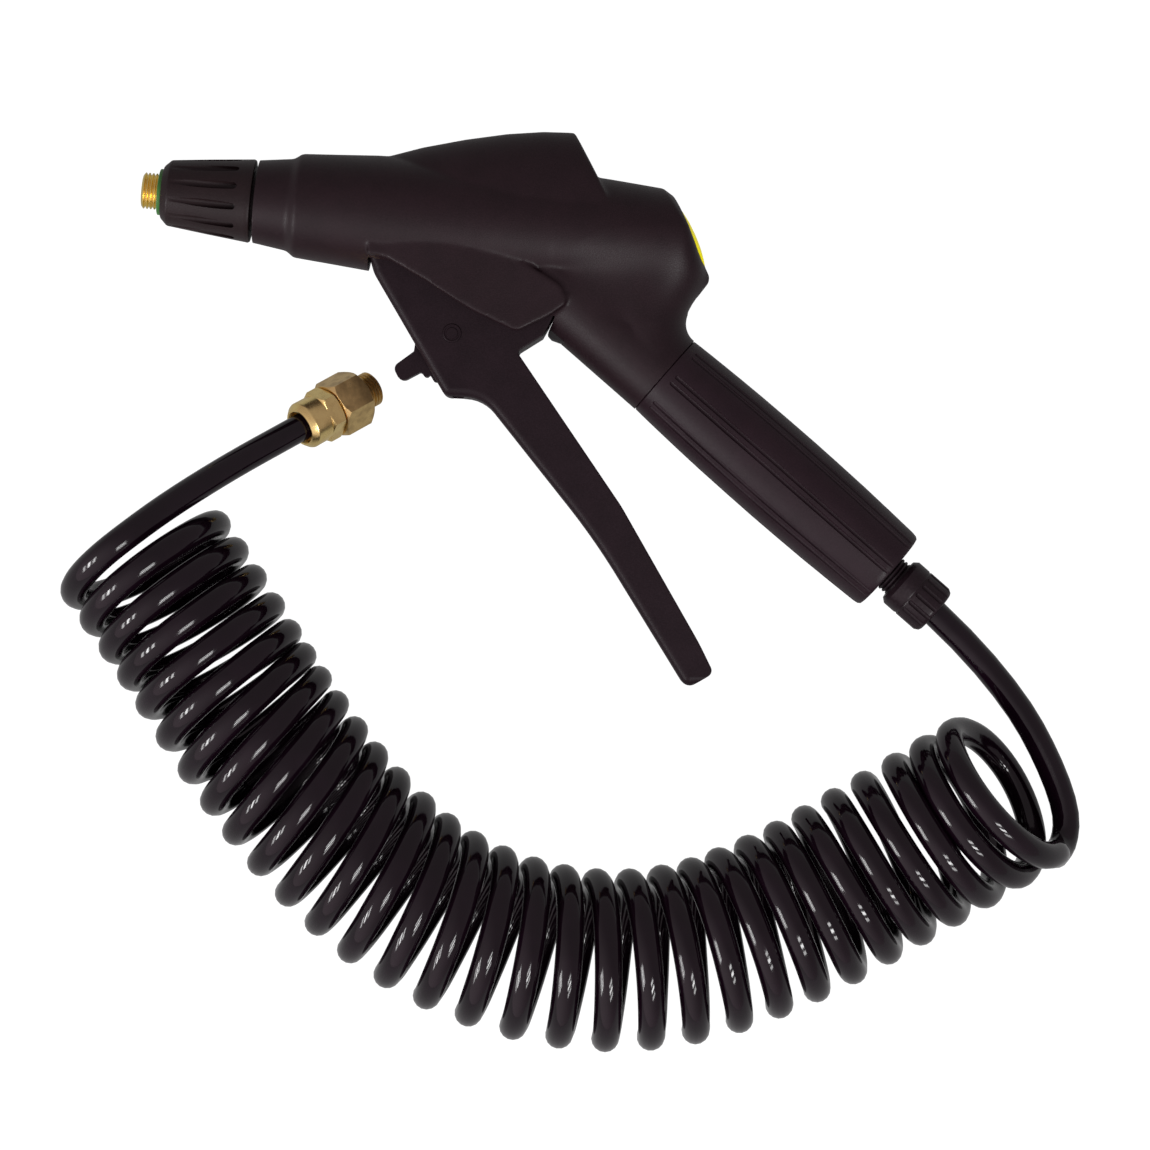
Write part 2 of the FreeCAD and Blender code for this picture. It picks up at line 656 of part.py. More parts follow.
def front_knob():
    bore = BEARING_R + RUNNING
    step = BEARING_FRONT_U - CLEAR / 2
    profile = [
        (KNOB_FRONT_U, KNOB_LIP_R), (KNOB_FRONT_U, KNOB_FRONT_R), (KNOB_CHAMFER_U, KNOB_CHAMFER_R),
        (KNOB_BACK_U, KNOB_BACK_R), (KNOB_BACK_U, bore), (CLIP_U + CLIP_THICK + CLIP_PLAY, bore),
        (CLIP_U + CLIP_THICK + CLIP_PLAY, CLIP_OUT_R + CLEAR), (CLIP_U - CLIP_PLAY, CLIP_OUT_R + CLEAR),
        (CLIP_U - CLIP_PLAY, bore), (step, bore), (step, KNOB_LIP_R),
    ]
    knob = turned(profile, at(0, 0), BARREL_DIR)
    centre_r = KNOB_CHAMFER_R + 0.25 + FLUTE_R
    cutters = []
    for i in range(FLUTES):
        a = 2 * math.pi * (i + 0.5) / FLUTES
        v, w = centre_r * math.cos(a), centre_r * math.sin(a)
        cutters.append(Part.makeCylinder(FLUTE_R, FLUTE_END_U, at(0, v, w), BARREL_DIR))
        cutters.append(Part.makeSphere(FLUTE_R, at(FLUTE_END_U, v, w)))
    return main_solid(knob.cut(cutters))


# ---- Valve ----
def valve_body():
    origin = at(VALVE_U, 0)
    body = rod(VALVE_R, VALVE_BOTTOM_V, VALVE_TOP_V, origin, VALVE_DIR)
    cuts = [
        rod(STEM_R + RUNNING, VALVE_BOTTOM_V - 1, SEAT_V, origin, VALVE_DIR),
        rod(LOWER_BORE_R, GUIDE_TOP_V, SEAT_V + 1, origin, VALVE_DIR),
        rod(CHAMBER_R, SEAT_V, VALVE_TOP_V + 1, origin, VALVE_DIR),
        rod(TUBE_R + PRESS, -VALVE_R - 1, -VALVE_R + SOCKET_DEPTH, origin, BARREL_DIR),
        rod(SPIGOT_BORE_R, -VALVE_R, 0, origin, BARREL_DIR),
        rod(INLET_R + PRESS, VALVE_R - SOCKET_DEPTH, VALVE_R + 1, at(VALVE_U, INLET_V), BARREL_DIR),
        rod(INLET_BORE_R, 0, VALVE_R, at(VALVE_U, INLET_V), BARREL_DIR),
    ]
    return main_solid(body.cut(cuts))


def stem_seal():
    return pipe(LOWER_BORE_R - PRESS, STEM_R + RUNNING, GUIDE_TOP_V, GUIDE_TOP_V + SEAL_THICK,
                at(VALVE_U, 0), VALVE_DIR)


def valve_stem():
    origin = at(VALVE_U, 0)
    tip = PAD_TOP_V + STEM_GAP
    shaft = rod(STEM_R, tip + STEM_R, SEAT_V + POPPET_SEAL, origin, VALVE_DIR)
    nose = Part.makeSphere(STEM_R, origin + VALVE_DIR * (tip + STEM_R))
    base = SEAT_V + POPPET_SEAL
    poppet = rod(POPPET_R, base, base + POPPET_THICK, origin, VALVE_DIR)
    pin = rod(SPRING_PIN_R, base + POPPET_THICK, base + POPPET_THICK + SPRING_PIN_LENGTH, origin, VALVE_DIR)
    return shaft.fuse([nose, poppet, pin]).removeSplitter()


def poppet_seal():
    return pipe(POPPET_R, STEM_R + PRESS, SEAT_V + PRESS, SEAT_V + POPPET_SEAL, at(VALVE_U, 0), VALVE_DIR)


def valve_spring():
    """Coil spring from the poppet to the valve cap, with a faceted wire."""
    low = SEAT_V + POPPET_SEAL + POPPET_THICK + SPRING_WIRE_R
    high = VALVE_TOP_V - VALVE_CAP_PLUG - SPRING_WIRE_R
    steps = int(SPRING_TURNS * SPRING_STEPS)
    rings = []
    for k in range(steps + 1):
        around = 2 * math.pi * k / SPRING_STEPS
        ring = []
        for i in range(SPRING_SIDES):
            across = 2 * math.pi * i / SPRING_SIDES
            r = SPRING_MEAN_R + SPRING_WIRE_R * math.cos(across)
            v = low + (high - low) * k / steps + SPRING_WIRE_R * math.sin(across)
            ring.append(at(VALVE_U + r * math.sin(around), v, r * math.cos(around)))
        rings.append(ring)
    corners = [rings[0], rings[-1]]
    for ring, after in zip(rings, rings[1:]):
        for i in range(SPRING_SIDES):
            j = (i + 1) % SPRING_SIDES
            corners += [[ring[i], after[i], after[j]], [ring[i], after[j], ring[j]]]
    faces = [Part.Face(Part.makePolygon(points + points[:1])) for points in corners]
    spring = Part.makeSolid(Part.makeShell(faces))
    if spring.Volume < 0:
        spring.reverse()
    return spring


def valve_cap():
    origin = at(VALVE_U, 0)
    flange = rod(VALVE_CAP_R, VALVE_TOP_V, VALVE_TOP_V + VALVE_CAP_THICK, origin, VALVE_DIR)
    plug = rod(CHAMBER_R - PRESS, VALVE_TOP_V - VALVE_CAP_PLUG, VALVE_TOP_V, origin, VALVE_DIR)
    return flange.fuse(plug).removeSplitter()


def inlet_tube():
    return tube("inlet_tube", inlet_points(), INLET_R, INLET_BORE_R)


# ---- Trigger and latch ----
def front_edge(distance, depth=0.0):
    """Point on the trigger's straight front edge, and depth behind it."""
    run = V(CHIN_POINT[0] - FRONT_TOP[0], CHIN_POINT[1] - FRONT_TOP[1], 0).normalize()
    inward = V(-run.y, run.x, 0)
    return (FRONT_TOP[0] + run.x * distance + inward.x * depth,
            FRONT_TOP[1] + run.y * distance + inward.y * depth)


def trigger_form():
    """Outside of the trigger, as a solid plate."""
    corners = (
        FRONT_TOP + (0,), CHIN_POINT + (2.6,), THROAT + (12.0,), LEVER_KNEE + (90.0,), LEVER_TOE + (2.0,),
        LEVER_TIP + (2.5,), LEVER_BACK_LOW + (30.0,), LEVER_BACK_HIGH + (60.0,),
        (HEEL_LOW[0] - 0.6, HEEL_LOW[1], 1.4), HEEL_BACK + (0.8,), HEEL_TOP + (2.0,),
        (PIVOT[0] + 2.5, PIVOT[1] + PIVOT_BOSS_R, 1.5),
        (PIVOT[0] - 3.0, PIVOT[1] + PIVOT_BOSS_R, 1.5), (FRONT_TOP[0], FRONT_TOP[1] + 3.4, 1.0),
    )
    return plate(corners, -TRIGGER_HALF, TRIGGER_HALF)


def trigger_hollow():
    """Space between the cheeks, open to the back and to the top. The heel stays closed."""
    i = LEVER_WEB
    inside = TRIGGER_HALF - CHEEK
    front = front_edge(0, i)
    chin = front_edge(math.dist(FRONT_TOP, CHIN_POINT), i)
    corners = (
        front + (0,), (chin[0], chin[1] + 0.25 * i, 0.6), (THROAT[0] + 0.4 * i, THROAT[1] + i, 12.0),
        (LEVER_KNEE[0] + 0.75 * i, LEVER_KNEE[1] + 0.66 * i, 90.0),
        (LEVER_TOE[0] + 0.8 * i, LEVER_TOE[1] + 0.6 * i, 0), (LEVER_TIP[0] + 14.0, LEVER_TIP[1] + 7.0, 0),
        (LEVER_KNEE[0] + LEVER_OPEN, LEVER_KNEE[1] + LEVER_OPEN, 0),
        (HEEL_LOW[0] + 1.0, HEEL_LOW[1] - 1.5, 0), (HEEL_LOW[0] - 3.0, HEEL_LOW[1] + 3.0, 0),
        (HEEL_BACK[0] - 1.0, HEEL_BACK[1] + 3.5, 0), (HEEL_BACK[0] + 12.0, HEEL_BACK[1] + 3.5, 0),
        (HEEL_TOP[0] + 12.0, HEEL_TOP[1] + 12.0, 0), (PIVOT[0] + 4.0, PIVOT[1] + 14.0, 0),
        (PIVOT[0] - 7.0, PIVOT[1] + 14.0, 0),
    )
    return plate(corners, -inside, inside)


def rounded_front(solid):
    """Rounds the long edges that face the fingers."""
    edges = []
    for edge in solid.Edges:
        middle = edge.valueAt((edge.FirstParameter + edge.LastParameter) / 2) - at(0, 0)
        on_side = abs(abs(middle.z) - TRIGGER_HALF) < 1e-6
        ahead = middle.y < FRONT_TOP[1] + 1 and middle.x + TRIGGER_LEAN * middle.y < TRIGGER_MIDDLE
        if on_side and ahead:
            edges.append(edge)
    return solid.makeFillet(TRIGGER_EDGE_R, edges)


def trigger_lever():
    inside = TRIGGER_HALF - CHEEK
    pad = Part.makeBox(2 * PAD_HALF_LENGTH, PAD_THICK, 2 * inside,
                       at(VALVE_U - PAD_HALF_LENGTH, PAD_TOP_V - PAD_THICK, -inside))
    boss = cross_rod(PIVOT_BOSS_R, PIVOT, -inside, inside)
    s0, s1 = LATCH_SLOT
    slot_corners = [front_edge(s0, -3), front_edge(s1, -3), front_edge(s1, 9), front_edge(s0, 9)]
    slot = plate(tuple((u, v, 0) for u, v in slot_corners), -LATCH_HALF - CLEAR, LATCH_HALF + CLEAR)
    cuts = [
        slot,
        cross_rod(PIVOT_PIN_R + RUNNING, PIVOT, -TRIGGER_HALF - 1, TRIGGER_HALF + 1),
        cross_rod(LATCH_PIN_R + PRESS, LATCH_PIVOT, -TRIGGER_HALF - 1, TRIGGER_HALF + 1),
    ]
    sunk = TRIGGER_HALF - LATCH_HEAD
    for w0, w1 in ((sunk, TRIGGER_HALF + 1), (-TRIGGER_HALF - 1, -sunk)):
        cuts.append(cross_rod(LATCH_HEAD_R + PRESS, LATCH_PIVOT, w0, w1))
    channel = rounded_front(trigger_form()).cut(trigger_hollow()).fuse([pad, boss]).cut(cuts)
    return main_solid(channel.removeSplitter())


def trigger_pin():
    return cross_rod(PIVOT_PIN_R, PIVOT, -PIVOT_PIN_HALF + RUNNING, PIVOT_PIN_HALF - RUNNING)


def latch_pin():
    shank = cross_rod(LATCH_PIN_R, LATCH_PIVOT, -TRIGGER_HALF, TRIGGER_HALF)
    sunk, proud = TRIGGER_HALF - LATCH_HEAD, TRIGGER_HALF + LATCH_HEAD_PROUD
    heads = [cross_rod(LATCH_HEAD_R, LATCH_PIVOT, sunk, proud),
             cross_rod(LATCH_HEAD_R, LATCH_PIVOT, -proud, -sunk)]
    return shank.fuse(heads).removeSplitter()


def latch_lever():
    corners = (
        (118.5, -35.6, 4.0), (104.3, -44.6, 1.0), (104.1, -48.7, 1.0), (97.0, -55.0, 2.6),
        (100.5, -60.5, 2.7), (107.4, -55.9, 0.8), (109.6, -58.2, 1.2), (110.8, -56.6, 0.3),
        (112.9, -59.6, 1.2), (115.4, -57.2, 1.0), (123.6, -43.0, 4.0),
    )
    lever = plate(corners, -LATCH_HALF, LATCH_HALF)
    return main_solid(lever.cut(cross_rod(LATCH_PIN_R + RUNNING, LATCH_PIVOT, -20, 20)))


def stop_pad():
    """Ribbed rubber pad on the front of the neck, behind the trigger's heel."""
    corners = ((151.5, -38.9, 0.5), (153.9, -35.8, 0.0), (160.0, -41.0, 0.0), (159.4, -45.0, 0.6),
               (156.2, -43.4, 0.4), (152.6, -41.8, 0.6))
    pad = plate(corners, -7.0, 7.0)
    neck = rod(NECK_R + PRESS, NECK_FRONT_T - PRESS, 20, on_grip(0), GRIP_DIR)
    reach = math.dist(PIVOT, HEEL_BACK) + CLEAR
    ribs = [Part.makeBox(20, 20, 0.8, at(146, -52, w)).common(
            plate(((140, -50, 0), (162, -50, 0), (162, -42.3, 0), (152.0, -40.0, 0)), -8, 8))
            for w in (-4.4, -1.6, 0.9, 3.6)]
    return main_solid(pad.cut([neck, cross_rod(reach, PIVOT, -20, 20)] + ribs))


# ---- Grip and gland ----
def grip_sleeve():
    outer = list(GRIP_PROFILE) + [(GRIP_LENGTH, GRIP_END_R)]
    profile = [(0, CORE_R + PRESS)] + outer
    profile += [(GRIP_LENGTH, CORE_R + PRESS)]
    sleeve = turned(profile, on_grip(0), GRIP_DIR)
    reach = max(r for _, r in GRIP_PROFILE)
    cutters = []
    for i in range(GROOVE_COUNT):
        for side in (-0.5, 0.5):
            offset = side * GROOVE_PAIR_GAP
            groove = Part.makeBox(GRIP_LENGTH, GROOVE_WIDTH, GROOVE_DEPTH * 4,
                                  V(GROOVE_START, offset - GROOVE_WIDTH / 2, reach - GROOVE_DEPTH * 2.4))
            groove.rotate(V(0, 0, 0), V(1, 0, 0), i * 360.0 / GROOVE_COUNT)
            groove.rotate(V(0, 0, 0), V(0, 0, 1), GRIP_ANGLE)
            groove.translate(on_grip(0))
            cutters.append(groove)
    return main_solid(sleeve.cut(cutters))


def handle_core():
    seat = CORE_UP - 4.0
    cuts = [rod(INLET_R + PRESS, -CORE_UP - 1, CORE_END + 1, on_grip(0), GRIP_DIR),
            rod(INLET_R + 4.6, -CORE_UP - 1, -CORE_UP + seat, on_grip(0), GRIP_DIR),
            rod(GLAND_ROOT_R + PRESS, GLAND_ROOT_T, CORE_END + 1, on_grip(0), GRIP_DIR)]
    return rod(CORE_R, -CORE_UP, CORE_END, on_grip(0), GRIP_DIR).cut(cuts)


def gland_body():
    hose = HOSE_R + HOSE_GAP
    seat = GLAND_ROOT_T + GLAND_TUBE_SEAT
    profile = [(GLAND_ROOT_T, INLET_R + PRESS), (GLAND_ROOT_T, GLAND_ROOT_R), (CORE_END, GLAND_ROOT_R),
               (CORE_END, GLAND_THREAD_R - THREAD_DEPTH)]
    start = CORE_END + 1.2
    profile += thread_profile(start, GLAND_THREAD_END, GLAND_THREAD_R, GLAND_THREAD_PITCH, THREAD_DEPTH)
    profile += [(GLAND_THREAD_END, hose), (HOSE_SEAT_T, hose), (HOSE_SEAT_T, GLAND_BORE_R),
                (seat, GLAND_BORE_R), (seat, INLET_R + PRESS)]
    return turned(profile, on_grip(0), GRIP_DIR)


def gland_nut():
    thread = GLAND_THREAD_R + HOSE_GAP
    hose = HOSE_R + 2 * HOSE_GAP
    ferrule_end = FERRULE_T + FERRULE_THICK
    profile = [
        (NUT_FRONT_T, thread), (NUT_FRONT_T, NUT_R - 1.3), (NUT_FRONT_T + 1.6, NUT_R),
        (NUT_BACK_T - 1.8, NUT_R), (NUT_BACK_T, NUT_R - 1.6), (NUT_BACK_T, hose),
        (ferrule_end + 0.3, hose), (ferrule_end + 0.3, thread),
    ]
    nut = turned(profile, on_grip(0), GRIP_DIR)
    cutter = Part.makeCylinder(NUT_FLUTE_R, NUT_BACK_T - NUT_FLUTE_START_T + 1,
                               on_grip(NUT_FLUTE_START_T, NUT_R + 0.15), GRIP_DIR)
    cutters = [turn_about(cutter, on_grip(0), GRIP_DIR, i * 360.0 / NUT_FLUTES) for i in range(NUT_FLUTES)]
    return main_solid(nut.cut(cutters))


def gland_ferrule():
    return turned([(FERRULE_T, HOSE_R + HOSE_GAP / 2), (FERRULE_T, GLAND_THREAD_R - 0.4),
                   (FERRULE_T + FERRULE_THICK, GLAND_THREAD_R),
                   (FERRULE_T + FERRULE_THICK, HOSE_R + HOSE_GAP / 2)], on_grip(0), GRIP_DIR)


def hose_sleeve(origin, axis, start, stop):
    """Support sleeve in the hose's bore, with a collar at its inner end."""
    return pipe(HOSE_BORE_R - RUNNING, SLEEVE_BORE_R, start, stop, origin, axis)


# ---- Fitting on the far end ----
def hexagon(flats, a0, a1, origin, axis, degrees, chamfer):
    """Hexagon bar along an axis with its corners turned off at both ends."""
    side = axis.cross(V(0, 0, 1)).normalize()
    corner_r = flats / math.sqrt(3.0)
    points = []
    for i in range(6):
        ray = FreeCAD.Rotation(axis, degrees + 60 * i).multVec(side)
        points.append(origin + axis * a0 + ray * corner_r)
    bar = Part.Face(Part.makePolygon(points + points[:1])).extrude(axis * (a1 - a0))
    flat_r = flats / 2.0
    turned_off = turned([(a0, 0), (a0, flat_r - 0.1), (a0 + chamfer, corner_r), (a1 - chamfer, corner_r),
                         (a1, flat_r - 0.1), (a1, 0)], origin, axis)
    return bar.common(turned_off)


def fitting_body():
    hex_start = FITTING_THREAD
    hex_end = hex_start + HEX_LENGTH
    thread = [(0, FITTING_BORE_R), (0, THREAD_R - THREAD_DEPTH)]
    relief = FITTING_THREAD - FITTING_RELIEF
    thread += thread_profile(THREAD_DEPTH, relief, THREAD_R, THREAD_PITCH, THREAD_DEPTH)
    thread += [(relief, SPIGOT_RELIEF_R), (FITTING_THREAD, SPIGOT_RELIEF_R),
               (FITTING_THREAD, FITTING_BORE_R)]
    shank = turned(thread, on_fitting(0), FITTING_DIR)
    body = hexagon(HEX_FLATS, hex_start, hex_end, on_fitting(0), FITTING_DIR, HEX_TURN, HEX_CHAMFER)
    spigot = rod(FITTING_SPIGOT_R, hex_end, hex_end + FITTING_SPIGOT, on_fitting(0), FITTING_DIR)
    out = hex_end + FITTING_SPIGOT + 1
    bores = [rod(FITTING_BORE_R, -1, out, on_fitting(0), FITTING_DIR),
             rod(HOSE_R + HOSE_GAP, FAR_TAIL_IN - 0.5, out, on_fitting(0), FITTING_DIR)]
    return main_solid(shank.fuse([body, spigot]).removeSplitter().cut(bores))


def union_nut():
    start = FITTING_THREAD + HEX_LENGTH + CLEAR / 2
    hex_end = start + UNION_HEX_LENGTH
    stop = start + UNION_LENGTH
    body = hexagon(UNION_FLATS, start, hex_end, on_fitting(0), FITTING_DIR, UNION_TURN, UNION_CHAMFER)
    collar_start = hex_end - UNION_CHAMFER
    collar = turned([(collar_start, 0), (collar_start, UNION_COLLAR_R), (stop - UNION_TAPER, UNION_COLLAR_R),
                     (stop, UNION_END_R), (stop, 0)], on_fitting(0), FITTING_DIR)
    inner_end = stop - UNION_LIP
    bores = [rod(FITTING_SPIGOT_R + HOSE_GAP, start - 1, inner_end, on_fitting(0), FITTING_DIR),
             rod(UNION_MOUTH_R, start, stop + 1, on_fitting(0), FITTING_DIR)]
    return main_solid(body.fuse(collar).removeSplitter().cut(bores))


def olive():
    start = FITTING_THREAD + HEX_LENGTH + FITTING_SPIGOT
    stop = FITTING_THREAD + HEX_LENGTH + CLEAR / 2 + UNION_LENGTH - UNION_LIP
    return pipe(FITTING_SPIGOT_R, HOSE_R + HOSE_GAP / 2, start + 0.1, stop - 0.1, on_fitting(0), FITTING_DIR)


# ---- Hose ----
def far_tail_points():
    return [on_fitting(FAR_TAIL_IN), on_fitting(FAR_TAIL_BEND)] + list(FAR_TAIL)


def gun_tail_points():
    return [on_grip(HOSE_SEAT_T + 1.0), on_grip(GUN_TAIL_BEND_T)] + list(GUN_TAIL)


def build():
    left, right = shells()
    axis_fit = on_fitting(0)
    coil_r = COIL_MEAN_R + HOSE_R
    union_end = FITTING_THREAD + HEX_LENGTH + CLEAR / 2 + UNION_LENGTH
    return {
        "body_shell_left": left,
        "body_shell_right": right,
        "rear_cap": rear_cap(),
        "shell_screws": shell_screws(),
        "grip_sleeve": grip_sleeve(),
        "handle_core": handle_core(),
        "gland_body": gland_body(),
        "gland_nut": gland_nut(),
        "gland_ferrule": gland_ferrule(),
        "gland_hose_sleeve": hose_sleeve(on_grip(0), GRIP_DIR, HOSE_SEAT_T + 0.1, NUT_BACK_T - 2),
        "nozzle_spigot": nozzle_spigot(),
        "spigot_seal": spigot_seal(),
        "barrel_tube": barrel_tube(),
        "knob_bearing": knob_bearing(),
        "knob_clip": knob_clip(),
        "front_knob": front_knob(),
        "valve_body": valve_body(),
        "valve_cap": valve_cap(),
        "valve_spring": valve_spring(),
        "valve_stem": valve_stem(),
        "poppet_seal": poppet_seal(),
        "stem_seal": stem_seal(),
        "inlet_tube": inlet_tube(),
        "trigger_lever": trigger_lever(),
        "trigger_pin": trigger_pin(),
        "latch_lever": latch_lever(),
        "latch_pin": latch_pin(),
        "stop_pad": stop_pad(),
        "fitting_body": fitting_body(),
        "union_nut": union_nut(),
        "fitting_olive": olive(),
        "fitting_hose_sleeve": hose_sleeve(axis_fit, FITTING_DIR, FAR_TAIL_IN, union_end),
        "hose_far_tail": tube("hose_far_tail", far_tail_points(), HOSE_R, HOSE_BORE_R),
        "hose_coil": tube("hose_coil", list(COIL_ROUTE), coil_r, coil_r - COIL_WALL),
        "hose_gun_tail": tube("hose_gun_tail", gun_tail_points(), HOSE_R, HOSE_BORE_R),
    }


def main():
    os.makedirs("parts", exist_ok=True)
    for name, shape in build().items():
        box = shape.BoundBox
        print(name, "solids", len(shape.Solids), "valid", shape.isValid(), "volume", round(shape.Volume),
              "x", round(box.XMin, 1), round(box.XMax, 1), "y", round(box.YMin, 1), round(box.YMax, 1),
              "z", round(box.ZMin, 1), round(box.ZMax, 1))
        shape.exportStep("parts/%s.step" % name)


main()
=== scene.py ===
"""Hand spray gun on a coiled air hose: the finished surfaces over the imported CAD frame.

Positions are in metres in the row frame. Sizes in the classes are in millimetres, as on a
drawing, and GunFrame turns them into places.
"""
import logging
import math
from collections.abc import Callable, Iterator, Sequence
from contextlib import contextmanager
from dataclasses import dataclass
from enum import Enum
from itertools import accumulate, pairwise

import bpy
from mathutils import Matrix, Vector


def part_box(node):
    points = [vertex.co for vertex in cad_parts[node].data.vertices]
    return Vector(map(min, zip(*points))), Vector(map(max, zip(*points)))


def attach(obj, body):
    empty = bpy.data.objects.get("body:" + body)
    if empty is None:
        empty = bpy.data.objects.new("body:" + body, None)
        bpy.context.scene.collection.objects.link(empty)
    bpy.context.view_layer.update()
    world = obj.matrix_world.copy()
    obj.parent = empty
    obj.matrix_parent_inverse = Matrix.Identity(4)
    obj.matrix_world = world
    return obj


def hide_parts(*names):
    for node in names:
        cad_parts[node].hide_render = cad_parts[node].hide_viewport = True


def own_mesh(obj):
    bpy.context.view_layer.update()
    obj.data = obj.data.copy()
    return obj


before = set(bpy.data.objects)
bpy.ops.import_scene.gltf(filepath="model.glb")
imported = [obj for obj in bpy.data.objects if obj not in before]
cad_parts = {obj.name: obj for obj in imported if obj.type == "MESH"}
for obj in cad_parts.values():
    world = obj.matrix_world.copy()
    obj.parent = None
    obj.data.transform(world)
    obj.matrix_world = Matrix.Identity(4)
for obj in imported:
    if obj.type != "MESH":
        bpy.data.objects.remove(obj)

Pair = tuple[float, float]
Triple = tuple[float, float, float]
Pairs = tuple[Pair, ...]
Triples = tuple[Triple, ...]

LOG = logging.getLogger("spray_gun")
MM = 0.001
UP = Vector((0, 0, 1))
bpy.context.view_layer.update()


# ---------------------------------------------------------------------------------------------
# Frames
# ---------------------------------------------------------------------------------------------
@dataclass(frozen=True)
class Axis:
    """A line that round pieces are turned about.

    Attributes:
        origin: point at distance 0, in metres.
        along: unit vector of growing distance.
        side: unit vector square to it, towards which radius 0 degrees points.
    """

    origin: Vector
    along: Vector
    side: Vector

    def at(self, distance: float, radius: float = 0.0, degrees: float = 0.0) -> Vector:
        """Point at a distance, radius and angle about the axis.

        Args:
            distance: millimetres along the axis.
            radius: millimetres from it.
            degrees: turn from the side vector, right-handed about the axis.

        Returns:
            The point in metres.
        """
        a = math.radians(degrees)
        out = self.side * math.cos(a) + self.along.cross(self.side) * math.sin(a)
        return self.origin + self.along * (distance * MM) + out * (radius * MM)


class GunFrame:
    """Places on the gun: u behind the outlet, v above the barrel's axis, w above the mid-plane.

    Attributes:
        PIVOT: (u, v) of the trigger's pivot.
        VALVE: (u, v) where the valve's axis meets the barrel's.
        GRIP_ANGLE: turn of the grip's axis from the barrel's, in degrees.
        JOINT: (u, v) where the grip sleeve starts on that axis.
        CAP_ANGLE: turn of the rear cap's axis from the barrel's, in degrees.
        RIM_CENTRE: (u, v) of the middle of the cap's rim.
        FITTING_HEADING: direction of the far fitting's axis seen from above, in degrees from +X.
        FITTING_TILT: how steeply that axis rises, in degrees.
        FITTING_TIP: tip of the fitting's thread in the row frame, in millimetres.
        origin: middle of the outlet's end, in metres.
        barrel, valve, grip, cap, fitting: the axes of those parts.
    """

    PIVOT = (91.0, -12.0)
    VALVE = (122.0, 0.0)
    GRIP_ANGLE = -35.5
    JOINT = (195.5, -48.0)
    CAP_ANGLE = 29.6
    RIM_CENTRE = (200.3, 2.9)
    FITTING_HEADING = 217.0
    FITTING_TILT = 33.0
    FITTING_TIP = (-64.2, -0.6, 5.3)

    def __init__(self) -> None:
        """Reads the barrel's axis and the outlet's end from the CAD frame."""
        low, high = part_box("nozzle_spigot")
        self.origin = Vector((low[0], (low[1] + high[1]) / 2, (low[2] + high[2]) / 2))
        self.barrel = Axis(self.origin, Vector((1, 0, 0)), UP)
        self.valve = Axis(self.at(*self.VALVE), Vector((0, 1, 0)), UP)
        self.grip = self._inclined(self.JOINT, self.GRIP_ANGLE)
        self.cap = self._inclined(self.RIM_CENTRE, self.CAP_ANGLE)
        heading, tilt = math.radians(self.FITTING_HEADING), math.radians(self.FITTING_TILT)
        level = Vector((math.cos(heading), math.sin(heading), 0))
        along = level * math.cos(tilt) + UP * math.sin(tilt)
        side = along.cross(UP).normalized()
        self.fitting = Axis(Vector(self.FITTING_TIP) * MM, along, side)

    def _inclined(self, place: Pair, degrees: float) -> Axis:
        """Axis in the mid-plane through a (u, v) place."""
        a = math.radians(degrees)
        return Axis(self.at(*place), Vector((math.cos(a), math.sin(a), 0)), UP)

    def at(self, u: float, v: float, w: float = 0.0) -> Vector:
        """Point of the gun frame, in metres."""
        return self.origin + Vector((u, v, w)) * MM

    def on_grip(self, t: float, n: float = 0.0) -> Vector:
        """Point t along the grip and n towards the hood, in metres."""
        across = UP.cross(self.grip.along)
        return self.grip.origin + (self.grip.along * t + across * n) * MM


GUN = GunFrame()


# ---------------------------------------------------------------------------------------------
# Shader arithmetic
# ---------------------------------------------------------------------------------------------
class Wire:
    """A shader socket that takes part in Python arithmetic by adding Math nodes."""

    def __init__(self, tree: bpy.types.NodeTree, socket: bpy.types.NodeSocket) -> None:
        """Wraps a socket of a tree."""
        self.tree = tree
        self.socket = socket

    def _math(self, operation: str, first: "Wire | float", second: "Wire | float",
              clamp: bool = False) -> "Wire":
        """Adds a Math node.

        Args:
            operation: the node's operation.
            first: its first value.
            second: its second value.
            clamp: whether the result is held between 0 and 1.

        Returns:
            The node's result.
        """
        node = self.tree.nodes.new("ShaderNodeMath")
        node.operation = operation
        node.use_clamp = clamp
        for socket, value in zip(node.inputs, (first, second)):
            if isinstance(value, Wire):
                self.tree.links.new(value.socket, socket)
            else:
                socket.default_value = value
        return Wire(self.tree, node.outputs[0])

    def __add__(self, other: "Wire | float") -> "Wire":
        """self + other."""
        return self._math("ADD", self, other)

    def __radd__(self, other: float) -> "Wire":
        """other + self."""
        return self._math("ADD", other, self)

    def __sub__(self, other: "Wire | float") -> "Wire":
        """self - other."""
        return self._math("SUBTRACT", self, other)

    def __mul__(self, other: "Wire | float") -> "Wire":
        """self * other."""
        return self._math("MULTIPLY", self, other)

    def limited(self) -> "Wire":
        """self held between 0 and 1."""
        return self._math("ADD", self, 0.0, clamp=True)

    def largest(self, other: "Wire | float") -> "Wire":
        """The larger of self and other."""
        return self._math("MAXIMUM", self, other)


